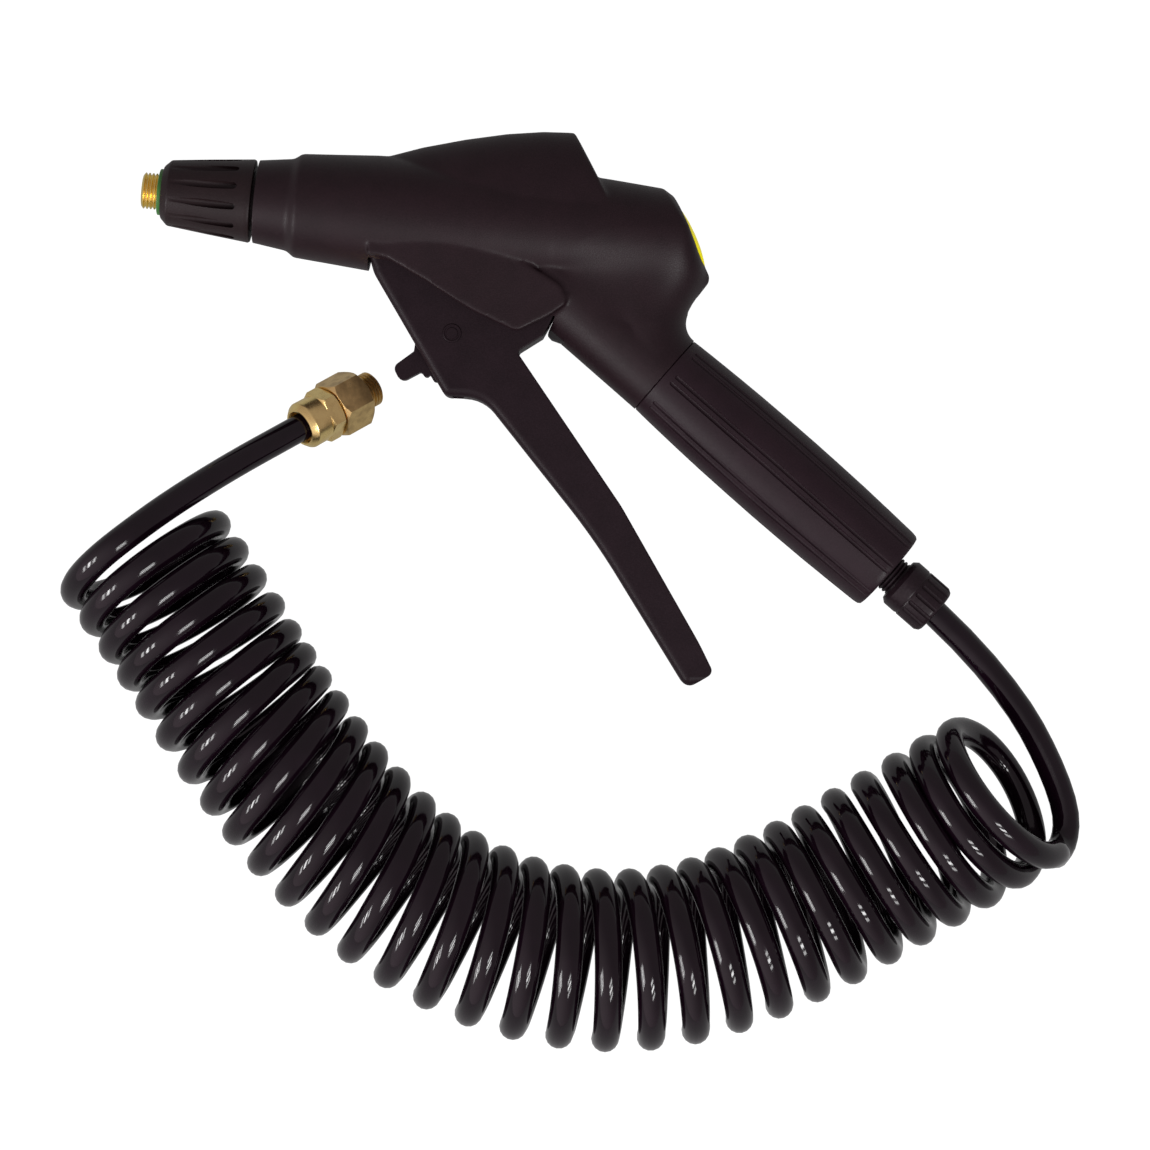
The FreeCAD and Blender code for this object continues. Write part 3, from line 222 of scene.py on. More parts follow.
class Recipe:
    """Builds one material's nodes."""

    def __init__(self, name: str) -> None:
        """Makes a material with a bare Principled shader.

        Args:
            name: the material's name.
        """
        self.material = bpy.data.materials.new(name)
        self.material.use_nodes = True
        self.tree = self.material.node_tree
        self.shader = self.tree.nodes["Principled BSDF"]

    def node(self, kind: str, settings: dict | None = None, **values: object) -> bpy.types.Node:
        """Adds a node.

        Args:
            kind: node type without its ShaderNode prefix.
            settings: attributes that are set first; "stops" fills a colour ramp.
            **values: numbers, tuples or Wires for input sockets, by name with _ for spaces.

        Returns:
            The new node.
        """
        node = self.tree.nodes.new("ShaderNode" + kind)
        for key, value in (settings or {}).items():
            if key == "stops":
                ramp = node.color_ramp
                while len(ramp.elements) < len(value):
                    ramp.elements.new(0.5)
                for element, (place, grey) in zip(ramp.elements, value):
                    element.position = place
                    element.color = (grey, grey, grey, 1)
            else:
                setattr(node, key, value)
        for key, value in values.items():
            self.put(node.inputs[key.replace("_", " ")], value)
        return node

    def put(self, socket: bpy.types.NodeSocket, value: object) -> None:
        """Links a Wire to a socket, or sets its value.

        Args:
            socket: the input.
            value: a Wire, a number or a tuple; a colour may leave out its alpha.
        """
        if isinstance(value, Wire):
            self.tree.links.new(value.socket, socket)
        elif isinstance(value, tuple) and socket.type == "RGBA" and len(value) == 3:
            socket.default_value = (*value, 1.0)
        else:
            socket.default_value = value

    def wire(self, node: bpy.types.Node, output: str | int = 0) -> Wire:
        """A node's output as a Wire."""
        return Wire(self.tree, node.outputs[output])

    def place(self) -> Wire:
        """Object coordinates."""
        return self.wire(self.node("TexCoord"), "Object")

    def noise(self, size_mm: float, detail: float = 2.0, stretch: Triple = (1.0, 1.0, 1.0)) -> Wire:
        """Noise whose features are about a size, as a grey value.

        Args:
            size_mm: feature size in millimetres.
            detail: octaves of finer noise.
            stretch: factor on each coordinate, for streaks.

        Returns:
            The noise's factor.
        """
        coordinates = self.place()
        if stretch != (1.0, 1.0, 1.0):
            mapping = self.node("Mapping", Vector=coordinates, Scale=stretch)
            coordinates = self.wire(mapping)
        node = self.node("TexNoise", Vector=coordinates, Scale=1.0 / (size_mm * MM), Detail=detail)
        return self.wire(node, "Fac")

    def ramp(self, value: Wire, *stops: Pair) -> Wire:
        """Grey ramp through (place, brightness) stops."""
        return self.wire(self.node("ValToRGB", {"stops": stops}, Fac=value))

    def blend(self, factor: Wire, first: Triple | Wire, second: Triple | Wire) -> Wire:
        """Mixes two colours by a factor."""
        node = self.tree.nodes.new("ShaderNodeMix")
        node.data_type = "RGBA"
        self.put(node.inputs[0], factor)
        self.put(node.inputs[6], first)
        self.put(node.inputs[7], second)
        return Wire(self.tree, node.outputs[2])

    def bump(self, height: Wire, depth_mm: float, strength: float = 1.0) -> Wire:
        """Bump from a height of 0 to 1 that stands for a depth in millimetres."""
        return self.wire(self.node("Bump", Height=height, Distance=depth_mm * MM, Strength=strength))

    def set(self, **values: object) -> "Recipe":
        """Sets Principled sockets by name, with _ for spaces, and returns the recipe."""
        for key, value in values.items():
            self.put(self.shader.inputs[key.replace("_", " ")], value)
        return self


# ---------------------------------------------------------------------------------------------
# Finishes
# ---------------------------------------------------------------------------------------------
def shade(colour: Triple, factor: float, lift: float = 0.0) -> Triple:
    """A colour times a factor, with a little grey light on top."""
    return tuple(c * factor + lift for c in colour)


@dataclass(frozen=True)
class MouldedPlastic:
    """Injection-moulded plastic with a fine spark-eroded grain.

    Attributes:
        name: the material's name.
        colour: linear base colour.
        roughness: middle of the roughness.
        grain: size of the grain in millimetres.
        depth: depth of the grain in millimetres.
        shine: specular level.
    """

    name: str
    colour: Triple
    roughness: float = 0.42
    grain: float = 0.45
    depth: float = 0.02
    shine: float = 0.25

    def material(self) -> bpy.types.Material:
        """Builds the material: cloudy tone, fine speckle, grain and faint rubbed patches."""
        r = Recipe(self.name)
        clouds = r.ramp(r.noise(9.0, 3.0), (0.35, 0.0), (0.68, 1.0))
        speckle = r.ramp(r.noise(self.grain, 2.0), (0.38, 0.0), (0.66, 1.0))
        tone = (clouds * 0.45 + speckle * 0.55).limited()
        rubbed = r.ramp(r.noise(22.0, 2.0), (0.45, 0.0), (0.75, 1.0))
        height = speckle * 0.7 + r.noise(self.grain * 3.2, 1.0) * 0.3
        return r.set(
            Base_Color=r.blend(tone, shade(self.colour, 0.80), shade(self.colour, 1.22)),
            Roughness=(self.roughness + (speckle - 0.5) * 0.10 - rubbed * 0.05).limited(),
            Normal=r.bump(height, self.depth),
            Specular_IOR_Level=self.shine,
        ).material


@dataclass(frozen=True)
class GlossHose:
    """Polyurethane hose: black, glossy, with faint drawing lines and handling haze.

    Attributes:
        name: the material's name.
        colour: linear base colour.
        roughness: roughness where it is clean.
    """

    name: str
    colour: Triple
    roughness: float = 0.07

    def material(self) -> bpy.types.Material:
        """Builds the material."""
        r = Recipe(self.name)
        haze = r.ramp(r.noise(14.0, 3.0), (0.42, 0.0), (0.78, 1.0))
        fine = r.noise(1.1, 2.0)
        return r.set(
            Base_Color=r.blend(haze, self.colour, shade(self.colour, 1.6, 0.001)),
            Roughness=(self.roughness + haze * 0.06 + fine * 0.02).limited(),
            Normal=r.bump(r.noise(2.4, 2.0), 0.03, 0.6),
            Specular_IOR_Level=0.42,
        ).material


@dataclass(frozen=True)
class TurnedBrass:
    """Machined brass with fine tool marks across its axis and a little tarnish.

    Attributes:
        name: the material's name.
        colour: linear base colour.
        tarnish: linear colour of its duller patches.
        roughness: roughness where it is clean.
        dullness: how much of it is tarnished, from 0 to 1.
    """

    name: str
    colour: Triple
    tarnish: Triple
    roughness: float = 0.24
    dullness: float = 0.4

    def material(self) -> bpy.types.Material:
        """Builds the material."""
        r = Recipe(self.name)
        patches = r.ramp(r.noise(3.5, 4.0), (0.40, 0.0), (0.72, 1.0))
        scratches = r.noise(0.35, 3.0, (1.0, 6.0, 1.0))
        return r.set(
            Base_Color=r.blend(patches * self.dullness, self.colour, self.tarnish),
            Metallic=1.0,
            Roughness=(self.roughness + patches * 0.12 * self.dullness + scratches * 0.08).limited(),
            Normal=r.bump(scratches, 0.012, 0.8),
        ).material


@dataclass(frozen=True)
class SmoothPart:
    """Plain smooth part, such as a cap, a seal or a plated screw.

    Attributes:
        name: the material's name.
        colour: linear base colour.
        roughness: middle of the roughness.
        metallic: 1 for metal.
        grain: size of the surface's unevenness in millimetres.
        shine: specular level.
        glow: painted light: emission of its own colour that brightens the part, standing in for light that
            passes through it from behind.
    """

    name: str
    colour: Triple
    roughness: float = 0.35
    metallic: float = 0.0
    grain: float = 1.2
    shine: float = 0.5
    glow: float = 0.0

    def material(self) -> bpy.types.Material:
        """Builds the material."""
        r = Recipe(self.name)
        mottle = r.ramp(r.noise(self.grain * 3, 3.0), (0.35, 0.0), (0.7, 1.0))
        return r.set(
            Base_Color=r.blend(mottle, shade(self.colour, 0.88), self.colour),
            Metallic=self.metallic,
            Roughness=(self.roughness + (mottle - 0.5) * 0.08).limited(),
            Normal=r.bump(r.noise(self.grain, 2.0), 0.012),
            Specular_IOR_Level=self.shine,
            # painted light: the part glows with emission of its own colour, as strong as its glow
            Emission_Color=self.colour,
            Emission_Strength=self.glow,
        ).material


class Finish(Enum):
    """Every finish on the object."""

    BODY = MouldedPlastic("moulded_body", (0.0150, 0.0066, 0.0092), 0.46)
    LEVER = MouldedPlastic("moulded_lever", (0.0150, 0.0082, 0.0112), 0.46, shine=0.14)
    KNOB = MouldedPlastic("moulded_knob", (0.0150, 0.0078, 0.0088), 0.46)
    GRIP = MouldedPlastic("moulded_grip", (0.0170, 0.0078, 0.0118), 0.44)
    GLAND = MouldedPlastic("moulded_gland", (0.0140, 0.0074, 0.0104), 0.38, 0.8, 0.012)
    HOSE = GlossHose("hose_polyurethane", (0.0042, 0.0010, 0.0034))
    BRASS = TurnedBrass("turned_brass", (1.0, 0.80, 0.28), (0.66, 0.46, 0.14), 0.18, 0.4)
    BRASS_RED = TurnedBrass("turned_brass_reddish", (1.0, 0.77, 0.32), (0.72, 0.49, 0.19), 0.20, 0.5)
    BRASS_DULL = TurnedBrass("darkened_brass", (0.80, 0.57, 0.24), (0.40, 0.265, 0.115), 0.24, 0.8)
    # painted light: the yellow cap glows with emission of its own colour, which makes it brighter than its
    # lighting does
    YELLOW = SmoothPart("yellow_cap", (0.90, 0.82, 0.004), 0.42, shine=0.12, glow=0.3)
    GREEN = SmoothPart("green_seal", (0.045, 0.19, 0.035), 0.42)
    RUBBER = SmoothPart("matt_rubber", (0.0065, 0.0055, 0.006), 0.62)
    STEEL = SmoothPart("plated_steel", (0.55, 0.56, 0.58), 0.30, 1.0, 0.5)

    def made(self) -> bpy.types.Material:
        """The finish's material, built once."""
        found = bpy.data.materials.get(self.value.name)
        return found or self.value.material()

    def on(self, piece: bpy.types.Object) -> bpy.types.Object:
        """Puts the finish on all of a piece and returns the piece."""
        piece.data.materials.clear()
        piece.data.materials.append(self.made())
        return piece


# ---------------------------------------------------------------------------------------------
# Bench: the modelling operators used on every piece
# ---------------------------------------------------------------------------------------------
def clear_selection() -> None:
    """Leaves edit mode and deselects everything."""
    if bpy.context.object and bpy.context.object.mode != "OBJECT":
        bpy.ops.object.mode_set(mode="OBJECT")
    bpy.ops.object.select_all(action="DESELECT")


def pick(piece: bpy.types.Object) -> None:
    """Selects one piece and makes it active."""
    clear_selection()
    piece.select_set(True)
    bpy.context.view_layer.objects.active = piece


@contextmanager
def editing(piece: bpy.types.Object, selection: str = "SELECT") -> Iterator[None]:
    """Edit mode on one piece, with all of it selected first, or nothing with DESELECT."""
    pick(piece)
    bpy.ops.object.mode_set(mode="EDIT")
    bpy.ops.mesh.select_all(action=selection)
    yield
    bpy.ops.object.mode_set(mode="OBJECT")


def settle() -> None:
    """Applies the picked piece's own place, turn and size to its mesh."""
    bpy.ops.object.transform_apply(location=True, rotation=True, scale=True)


def trace(name: str, places: Sequence[Vector], closed: bool = False) -> bpy.types.Object:
    """Draws a chain of edges by extruding one vertex from place to place.

    Args:
        name: the piece's name.
        places: the vertices, in metres.
        closed: whether the last is joined to the first and the loop filled.

    Returns:
        The piece, its object at the origin.
    """
    clear_selection()
    bpy.ops.mesh.primitive_plane_add(size=MM)
    piece = bpy.context.object
    piece.name = name
    bpy.ops.object.mode_set(mode="EDIT")
    bpy.ops.mesh.merge(type="CENTER")
    bpy.ops.transform.translate(value=places[0])
    for before, after in pairwise(places):
        bpy.ops.mesh.extrude_region_move(TRANSFORM_OT_translate={"value": after - before})
    if closed:
        bpy.ops.mesh.select_all(action="SELECT")
        bpy.ops.mesh.edge_face_add()
    bpy.ops.object.mode_set(mode="OBJECT")
    return piece


def tidy(piece: bpy.types.Object) -> bpy.types.Object:
    """Merges doubles and turns all faces outwards.

    Returns:
        The same piece.
    """
    with editing(piece):
        bpy.ops.mesh.remove_doubles(threshold=1e-6)
        bpy.ops.mesh.normals_make_consistent(inside=False)
    return piece


def closed_ends(piece: bpy.types.Object) -> bpy.types.Object:
    """Fills the open ends of a tube and tidies it."""
    with editing(piece, "DESELECT"):
        bpy.ops.mesh.select_non_manifold()
        bpy.ops.mesh.edge_face_add()
    return tidy(piece)


def lathe(name: str, axis: Axis, profile: Sequence[Pair], steps: int = 96) -> bpy.types.Object:
    """Spins a half outline about an axis.

    Args:
        name: the piece's name.
        axis: the axis.
        profile: (distance, radius) points in millimetres; a closed outline repeats its first.
        steps: faces round the axis.

    Returns:
        The piece.
    """
    piece = trace(name, [axis.at(a, r) for a, r in profile])
    with editing(piece):
        bpy.ops.mesh.spin(steps=steps, angle=math.tau, center=axis.origin, axis=axis.along)
    return tidy(piece)


def drawn_out(piece: bpy.types.Object, move: Vector) -> bpy.types.Object:
    """Extrudes a flat piece by a move in metres and tidies it."""
    with editing(piece):
        bpy.ops.mesh.extrude_region_move(TRANSFORM_OT_translate={"value": move})
    return tidy(piece)


def rounded(corners: Sequence[Triple], chord: float = 0.16) -> list[Pair]:
    """Turns the corners of an outline into chords.

    Args:
        corners: (u, v, corner radius) triples.
        chord: greatest angle of a chord, in radians.

    Returns:
        The outline's (u, v) points.
    """
    flat = [Vector(c[:2]) for c in corners]
    places: list[Pair] = []
    for i, (u, v, radius) in enumerate(corners):
        if radius <= 0:
            places.append((u, v))
            continue
        a = (flat[i - 1] - flat[i]).normalized()
        b = (flat[(i + 1) % len(flat)] - flat[i]).normalized()
        half = a.angle(b) / 2
        centre = flat[i] + (a + b).normalized() * (radius / math.sin(half))
        start = flat[i] + a * (radius / math.tan(half)) - centre
        stop = flat[i] + b * (radius / math.tan(half)) - centre
        steps = max(3, math.ceil((math.pi - 2 * half) / chord), round(radius / 12))
        for k in range(steps + 1):
            places.append(tuple(centre + start.slerp(stop, k / steps).normalized() * radius))
    return places


def plate(name: str, corners: Sequence[Triple], w0: float, w1: float) -> bpy.types.Object:
    """Flat piece of the gun: an outline drawn at w0 and extruded to w1."""
    piece = trace(name, [GUN.at(u, v, w0) for u, v in rounded(corners)], closed=True)
    return drawn_out(piece, UP * ((w1 - w0) * MM))


def rod(name: str, axis: Axis, radius: float, start: float, stop: float, steps: int = 64) -> bpy.types.Object:
    """Plain round bar, used to cut with."""
    return lathe(name, axis, [(start, 0), (start, radius), (stop, radius), (stop, 0)], steps)


def cross(u: float, v: float) -> Axis:
    """Axis through the gun's thickness at a place, distance 0 on the mid-plane."""
    return Axis(GUN.at(u, v), UP, Vector((1, 0, 0)))


def finish_modifier(piece: bpy.types.Object, kind: str, **settings: object) -> bpy.types.Object:
    """Adds a modifier and applies it.

    Args:
        piece: the piece.
        kind: the modifier's type.
        **settings: its attributes.

    Returns:
        The same piece.
    """
    pick(piece)
    modifier = piece.modifiers.new(kind.lower(), kind)
    for key, value in settings.items():
        setattr(modifier, key, value)
    bpy.ops.object.modifier_apply(modifier=modifier.name)
    return piece


def carve(piece: bpy.types.Object, *tools: bpy.types.Object,
          operation: str = "DIFFERENCE") -> bpy.types.Object:
    """Cuts, adds or keeps the shape of each tool in turn, and removes the tools."""
    for tool in tools:
        finish_modifier(piece, "BOOLEAN", object=tool, operation=operation, solver="EXACT")
        bpy.data.objects.remove(tool)
    return piece


def joined(name: str, pieces: Sequence[bpy.types.Object]) -> bpy.types.Object:
    """Joins pieces into one object."""
    clear_selection()
    for piece in pieces:
        piece.select_set(True)
    bpy.context.view_layer.objects.active = pieces[0]
    bpy.ops.object.join()
    pieces[0].name = name
    return pieces[0]


def copied(piece: bpy.types.Object, name: str) -> bpy.types.Object:
    """A copy with its own mesh."""
    twin = piece.copy()
    twin.data = piece.data.copy()
    twin.name = name
    bpy.context.scene.collection.objects.link(twin)
    return twin


def soften(piece: bpy.types.Object, rounds: int, near: Callable[[Vector], float] | None = None) -> None:
    """Smooths a dense surface.

    Args:
        piece: the piece.
        rounds: smoothing steps.
        near: weight from 0 to 1 of a place in metres; everywhere if left out.
    """
    group = ""
    if near:
        weights = piece.vertex_groups.new(name="blend")
        for vertex in piece.data.vertices:
            weight = near(vertex.co)
            if weight > 0.01:
                weights.add([vertex.index], weight, "REPLACE")
        group = weights.name
    finish_modifier(piece, "SMOOTH", factor=0.5, iterations=rounds, vertex_group=group)
    piece.vertex_groups.clear()


def halved(piece: bpy.types.Object, place: Vector, normal: Vector) -> bpy.types.Object:
    """Cuts away what lies on the normal's side of a plane and closes the cut."""
    with editing(piece):
        bpy.ops.mesh.bisect(plane_co=place, plane_no=normal.normalized(), use_fill=True, clear_outer=True)
    return piece


def hand_in(piece: bpy.types.Object, finish: Finish, slot: str, body: str, *nodes: str,
            sharp: float = 32.0, flat: bool = True) -> bpy.types.Object:
    """Shades and colours a finished piece, hangs it under its body's empty and hides the CAD nodes that it
    stands for.

    Args:
        piece: the piece.
        finish: its finish.
        slot: name of its material slot; not used.
        body: the body that it rides on.
        *nodes: the CAD nodes that it stands for.
        sharp: edges that turn more than this many degrees stay sharp.
        flat: whether large faces keep their own direction next to rounded edges.

    Returns:
        The same piece.
    """
    pick(piece)
    bpy.ops.object.shade_smooth_by_angle(angle=math.radians(sharp))
    if flat:
        finish_modifier(piece, "WEIGHTED_NORMAL", keep_sharp=True)
    finish.on(piece)
    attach(piece, body)
    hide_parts(*nodes)
    LOG.info("%s: %d faces", piece.name, len(piece.data.polygons))
    return piece


# ---------------------------------------------------------------------------------------------
# Studio
# ---------------------------------------------------------------------------------------------
@dataclass
class Studio:
    """Camera straight above, a white floor and soft lamps.

    Attributes:
        aim: point on the floor under the camera, in millimetres.
        height: camera above the floor, in millimetres.
        roll: camera's turn about the vertical, in degrees.
        width: width seen at the gun's mid-plane, in millimetres.
        level: height of that plane, in millimetres.
        lamp_distance: small lamps from the aim point, in metres.
        lamp_step: between two lamps of a row, in metres.
        lamp_size: width and height of a small lamp, in metres.
        lamp_shares: (place in its row, share of the row's power) of each lamp in a row.
        rows: (name, direction, power of a whole lamp in watts) of each row.
        floor_size: side of the floor, in metres.
        floor_drop: how far it lies under the object, in metres.
        floor_light: (light level, what the camera sees on top of it, cover) of its own glow.
        sky_light: (light level, extra on the bright side, extra for the camera).
        bright_side: direction in which the sky is brightest.
        sky_tint: the sky's colour, apart from where the camera sees it.
    """

    aim: Pair = (16.9, -61.7)
    height: float = 1500.0
    roll: float = 5.71
    width: float = 418.6
    level: float = 22.0
    lamp_distance: float = 1.5
    lamp_step: float = 0.24
    lamp_size: Pair = (0.5, 0.11)
    lamp_shares: Pairs = ((-1, 0.45), (0, 1.0), (1, 0.6))
    rows: tuple[tuple[str, Triple, float], ...] = (("lamp_left", (-0.74, -0.47, 0.47), 4.3),
                                                   ("lamp_right", (0.35, -0.54, 0.76), 4.3))
    floor_size: float = 8.0
    floor_drop: float = 0.0002
    floor_light: Triple = (0.34, 0.78, 0.9)
    sky_light: Triple = (0.32, 0.55, 0.75)
    bright_side: Triple = (-0.5, -0.6, 0.35)
    sky_tint: Triple = (1.0, 0.87, 0.92)

    def camera(self) -> None:
        """Adds the camera."""
        data = bpy.data.cameras.new("camera")
        data.sensor_width = 36.0
        data.lens = data.sensor_width * (self.height - self.level) / self.width
        data.clip_start, data.clip_end = 0.05, 20.0
        camera = bpy.data.objects.new("camera", data)
        camera.location = Vector((*self.aim, self.height)) * MM
        camera.rotation_euler = (0, 0, math.radians(self.roll))
        bpy.context.scene.collection.objects.link(camera)
        bpy.context.scene.camera = camera

    def lamp(self, name: str, place: Vector, power: float) -> None:
        """Adds an area lamp that faces the object.

        Args:
            name: the lamp's name.
            place: its place from the aim point, in metres.
            power: its power, in watts.
        """
        data = bpy.data.lights.new(name, "AREA")
        data.shape = "RECTANGLE"
        data.size, data.size_y = self.lamp_size
        data.energy = power
        lamp = bpy.data.objects.new(name, data)
        target = Vector((*self.aim, 0)) * MM
        lamp.location = target + place
        lamp.rotation_euler = (target - lamp.location).to_track_quat("-Z", "Y").to_euler()
        bpy.context.scene.collection.objects.link(lamp)

    def row(self, name: str, direction: Triple, power: float) -> None:
        """Adds small lamps one above the other.

        Args:
            name: start of their names.
            direction: towards the middle lamp.
            power: power of the middle one, in watts.
        """
        along = Vector(direction).normalized()
        step = (UP - along * along.z).normalized()
        for i, share in self.lamp_shares:
            place = along * self.lamp_distance + step * (i * self.lamp_step)
            self.lamp(f"{name}_{i + 2}", place, power * share)

    def floor(self) -> None:
        """Adds the floor, which looks white and still takes a faint shadow."""
        bpy.ops.mesh.primitive_plane_add(size=self.floor_size, location=(0, 0, -self.floor_drop))
        floor = bpy.context.object
        floor.name = "floor"
        r = Recipe("floor_white")
        rays = r.node("LightPath")
        seen = r.wire(rays, "Is Camera Ray").largest(r.wire(rays, "Is Glossy Ray"))
        seen = seen.largest(r.wire(rays, "Is Transmission Ray"))
        r.set(Base_Color=(0.9, 0.9, 0.9), Roughness=0.9)
        level, extra, cover = self.floor_light
        strength = r.wire(rays, "Is Camera Ray") * extra + level
        glow = r.node("Emission", Color=(1.0, 1.0, 1.0), Strength=strength)
        mix = r.node("MixShader", Fac=seen * cover)
        r.tree.links.new(r.shader.outputs[0], mix.inputs[1])
        r.tree.links.new(glow.outputs[0], mix.inputs[2])
        r.tree.links.new(mix.outputs[0], r.tree.nodes["Material Output"].inputs["Surface"])
        floor.data.materials.append(r.material)

    def sky(self) -> None:
        """White where the camera sees it, and a soft grey light elsewhere."""
        world = bpy.data.worlds.new("studio_sky")
        bpy.context.scene.world = world
        world.use_nodes = True
        tree = world.node_tree
        rays = tree.nodes.new("ShaderNodeLightPath")
        seen = Wire(tree, rays.outputs["Is Camera Ray"])
        background = tree.nodes["Background"]
        tint = tree.nodes.new("ShaderNodeMix")
        tint.data_type = "RGBA"
        tint.inputs["A"].default_value = (*self.sky_tint, 1)
        tint.inputs["B"].default_value = (1, 1, 1, 1)
        tree.links.new(seen.socket, tint.inputs["Factor"])
        tree.links.new(tint.outputs["Result"], background.inputs["Color"])
        place = tree.nodes.new("ShaderNodeTexCoord")
        facing = tree.nodes.new("ShaderNodeVectorMath")
        facing.operation = "DOT_PRODUCT"
        facing.inputs[1].default_value = Vector(self.bright_side).normalized()
        tree.links.new(place.outputs["Generated"], facing.inputs[0])
        near = Wire(tree, facing.outputs["Value"]).limited()
        level, side, extra = self.sky_light
        tree.links.new((seen * extra + near * near * side + level).socket, background.inputs["Strength"])

    def build(self) -> None:
        """Sets up the whole studio."""
        bpy.context.scene.view_settings.view_transform = "Standard"
        self.camera()
        self.floor()
        self.sky()
        for name, direction, power in self.rows:
            self.row(name, direction, power)


# ---------------------------------------------------------------------------------------------
# Hose
# ---------------------------------------------------------------------------------------------
@dataclass(frozen=True)
class Stations:
    """A value that changes smoothly between (turn, value) stations.

    Attributes:
        table: the stations, in order of turn.
    """

    table: Pairs

    def at(self, turn: float) -> float:
        """The value at a turn, held level outside the table."""
        before = self.table[0]
        for after in self.table:
            if turn < after[0]:
                if after[0] == before[0]:
                    return before[1]
                share = (turn - before[0]) / (after[0] - before[0])
                share = share * share * (3 - 2 * share)
                return before[1] + (after[1] - before[1]) * share
            before = after
        return before[1]


@dataclass
class Hose:
    """The whole hose, from the gland to the far fitting, as one curve.

    Attributes:
        diameter: outside diameter in millimetres.
        mean_radius: radius of the coil at the hose's centreline.
        turns: turns of the coil, from its top at the far end to its outer side at the gun's end.
        per_turn: points in each turn.
        start: first point, inside the gland, t along the grip.
        exit: where the gland nut ends and the hose comes out.
        bend: first bend, still on the grip's axis.
        gun_tail: free end at the gun, from the gland to the coil, in millimetres.
        coil: route of the coil's own axis.
        run_in: length of that route before the first top, in millimetres.
        pitch: pitch of the turns, counted from the far end, in millimetres.
        lead: how far a turn's inner side lies ahead of its outer side.
        lean_over: how far a turn's top lags.
        lean_under: how far its underside is ahead.
        far_tail: free end towards the fitting.
        fitting_bend: last bend, on the fitting's axis.
        fitting_in: last point, inside the union nut.
    """

    diameter: float = 10.0
    mean_radius: float = 28.06
    turns: float = 30.25
    per_turn: int = 20
    start: float = 113.0
    exit: float = 131.0
    bend: float = 140.0
    gun_tail: Triples = ((181.5, -91.5, 19.4), (195.3, -111.0, 16.4), (204.7, -129.5, 13.6),
                         (205.0, -141.0, 14.5), (200.6, -146.2, 23.0))
    coil: Pairs = ((-148.9, -58.4), (-120.8, -91.0), (-93.7, -126.6), (-61.7, -161.7), (-24.2, -189.0),
                   (22.0, -201.0), (66.1, -196.8), (106.0, -177.5), (142.3, -151.2), (166.5, -134.1),
                   (189.4, -116.5))
    run_in: float = 11.35
    pitch: Stations = Stations(((0, 11.8), (7, 12.2), (11, 13.8), (18, 14.3), (22, 13.2)))
    lead: Stations = Stations(((0, 2), (3, 0), (8, -10), (10, -9.5), (16, -0.5), (21, 6), (24, 5), (28, 0),
                               (30, -4)))
    lean_over: Stations = Stations(((0, 3.2), (6, 0.5), (10, -3), (22, -3.5), (25, 0), (27, 3), (30, 10)))
    lean_under: Stations = Stations(((0, 4), (12, 0), (22, 0), (26, 4), (30, 14.5)))
    far_tail: Triples = ((-132.3, -53.7, 55.0), (-119.7, -43.0, 48.1), (-107.1, -32.9, 39.7))
    fitting_bend: float = 46.0
    fitting_in: float = 24.0

    def spline(self, name: str, points: Sequence[Vector]) -> bpy.types.Object:
        """Adds a smooth open curve.

        Args:
            name: the curve's name.
            points: its control points, in metres.

        Returns:
            The curve's object.
        """
        data = bpy.data.curves.new(name, "CURVE")
        data.dimensions = "3D"
        data.resolution_u = 3
        line = data.splines.new("NURBS")
        line.points.add(len(points) - 1)
        for point, place in zip(line.points, points):
            point.co = (*place, 1.0)
        line.order_u = 3
        line.use_endpoint_u = True
        curve = bpy.data.objects.new(name, data)
        bpy.context.scene.collection.objects.link(curve)
        return curve

    def followed(self, curve: bpy.types.Object) -> list[Vector]:
        """Points along a bare curve, which is then removed."""
        mesh = bpy.data.meshes.new_from_object(curve)
        points = [vertex.co.copy() for vertex in mesh.vertices]
        bpy.data.objects.remove(curve)
        bpy.data.meshes.remove(mesh)
        return points

    def route(self) -> list[Vector]:
        """Points read from the smooth curve of the coil's axis, from the far end to the gun's."""
        level = self.mean_radius + self.diameter / 2
        guide = self.spline("coil_guide", [Vector((*p, level)) * MM for p in self.coil])
        guide.data.resolution_u = 40
        return self.followed(guide)

    def helix(self) -> list[Vector]:
        """Control points of the turns, from the far end to the gun's, right-handed."""
        route = self.route()
        reach = [0.0, *accumulate((b - a).length for a, b in pairwise(route))]
        # control points of a quadratic spline lie outside the circle that it draws
        radius = self.mean_radius * MM / math.cos(math.pi / self.per_turn)
        points = []
        index = 0
        s = self.run_in * MM
        for k in range(round(self.turns * self.per_turn) + 1):
            turn = k / self.per_turn
            while reach[index + 1] < s and index + 2 < len(reach):
                index += 1
            a, b = route[index], route[index + 1]
            centre = a.lerp(b, (s - reach[index]) / (reach[index + 1] - reach[index]))
            ahead = (b - a).normalized()
            up, out = math.cos(math.tau * turn), math.sin(math.tau * turn)
            lean = self.lean_over if up > 0 else self.lean_under
            along = -self.lead.at(turn) / 2 * out - lean.at(turn) * up
            points.append(centre + (UP * up + ahead.cross(UP) * out) * radius + ahead * (along * MM))
            s += self.pitch.at(turn) / self.per_turn * MM
        return points

    def points(self) -> list[Vector]:
        """Control points of the whole hose, from the gland to the fitting."""
        points = [GUN.on_grip(self.start), GUN.on_grip(self.bend)]
        points += [Vector(p) * MM for p in self.gun_tail]
        points += reversed(self.helix())
        points += [Vector(p) * MM for p in self.far_tail]
        return points + [GUN.fitting.at(self.fitting_bend), GUN.fitting.at(self.fitting_in)]

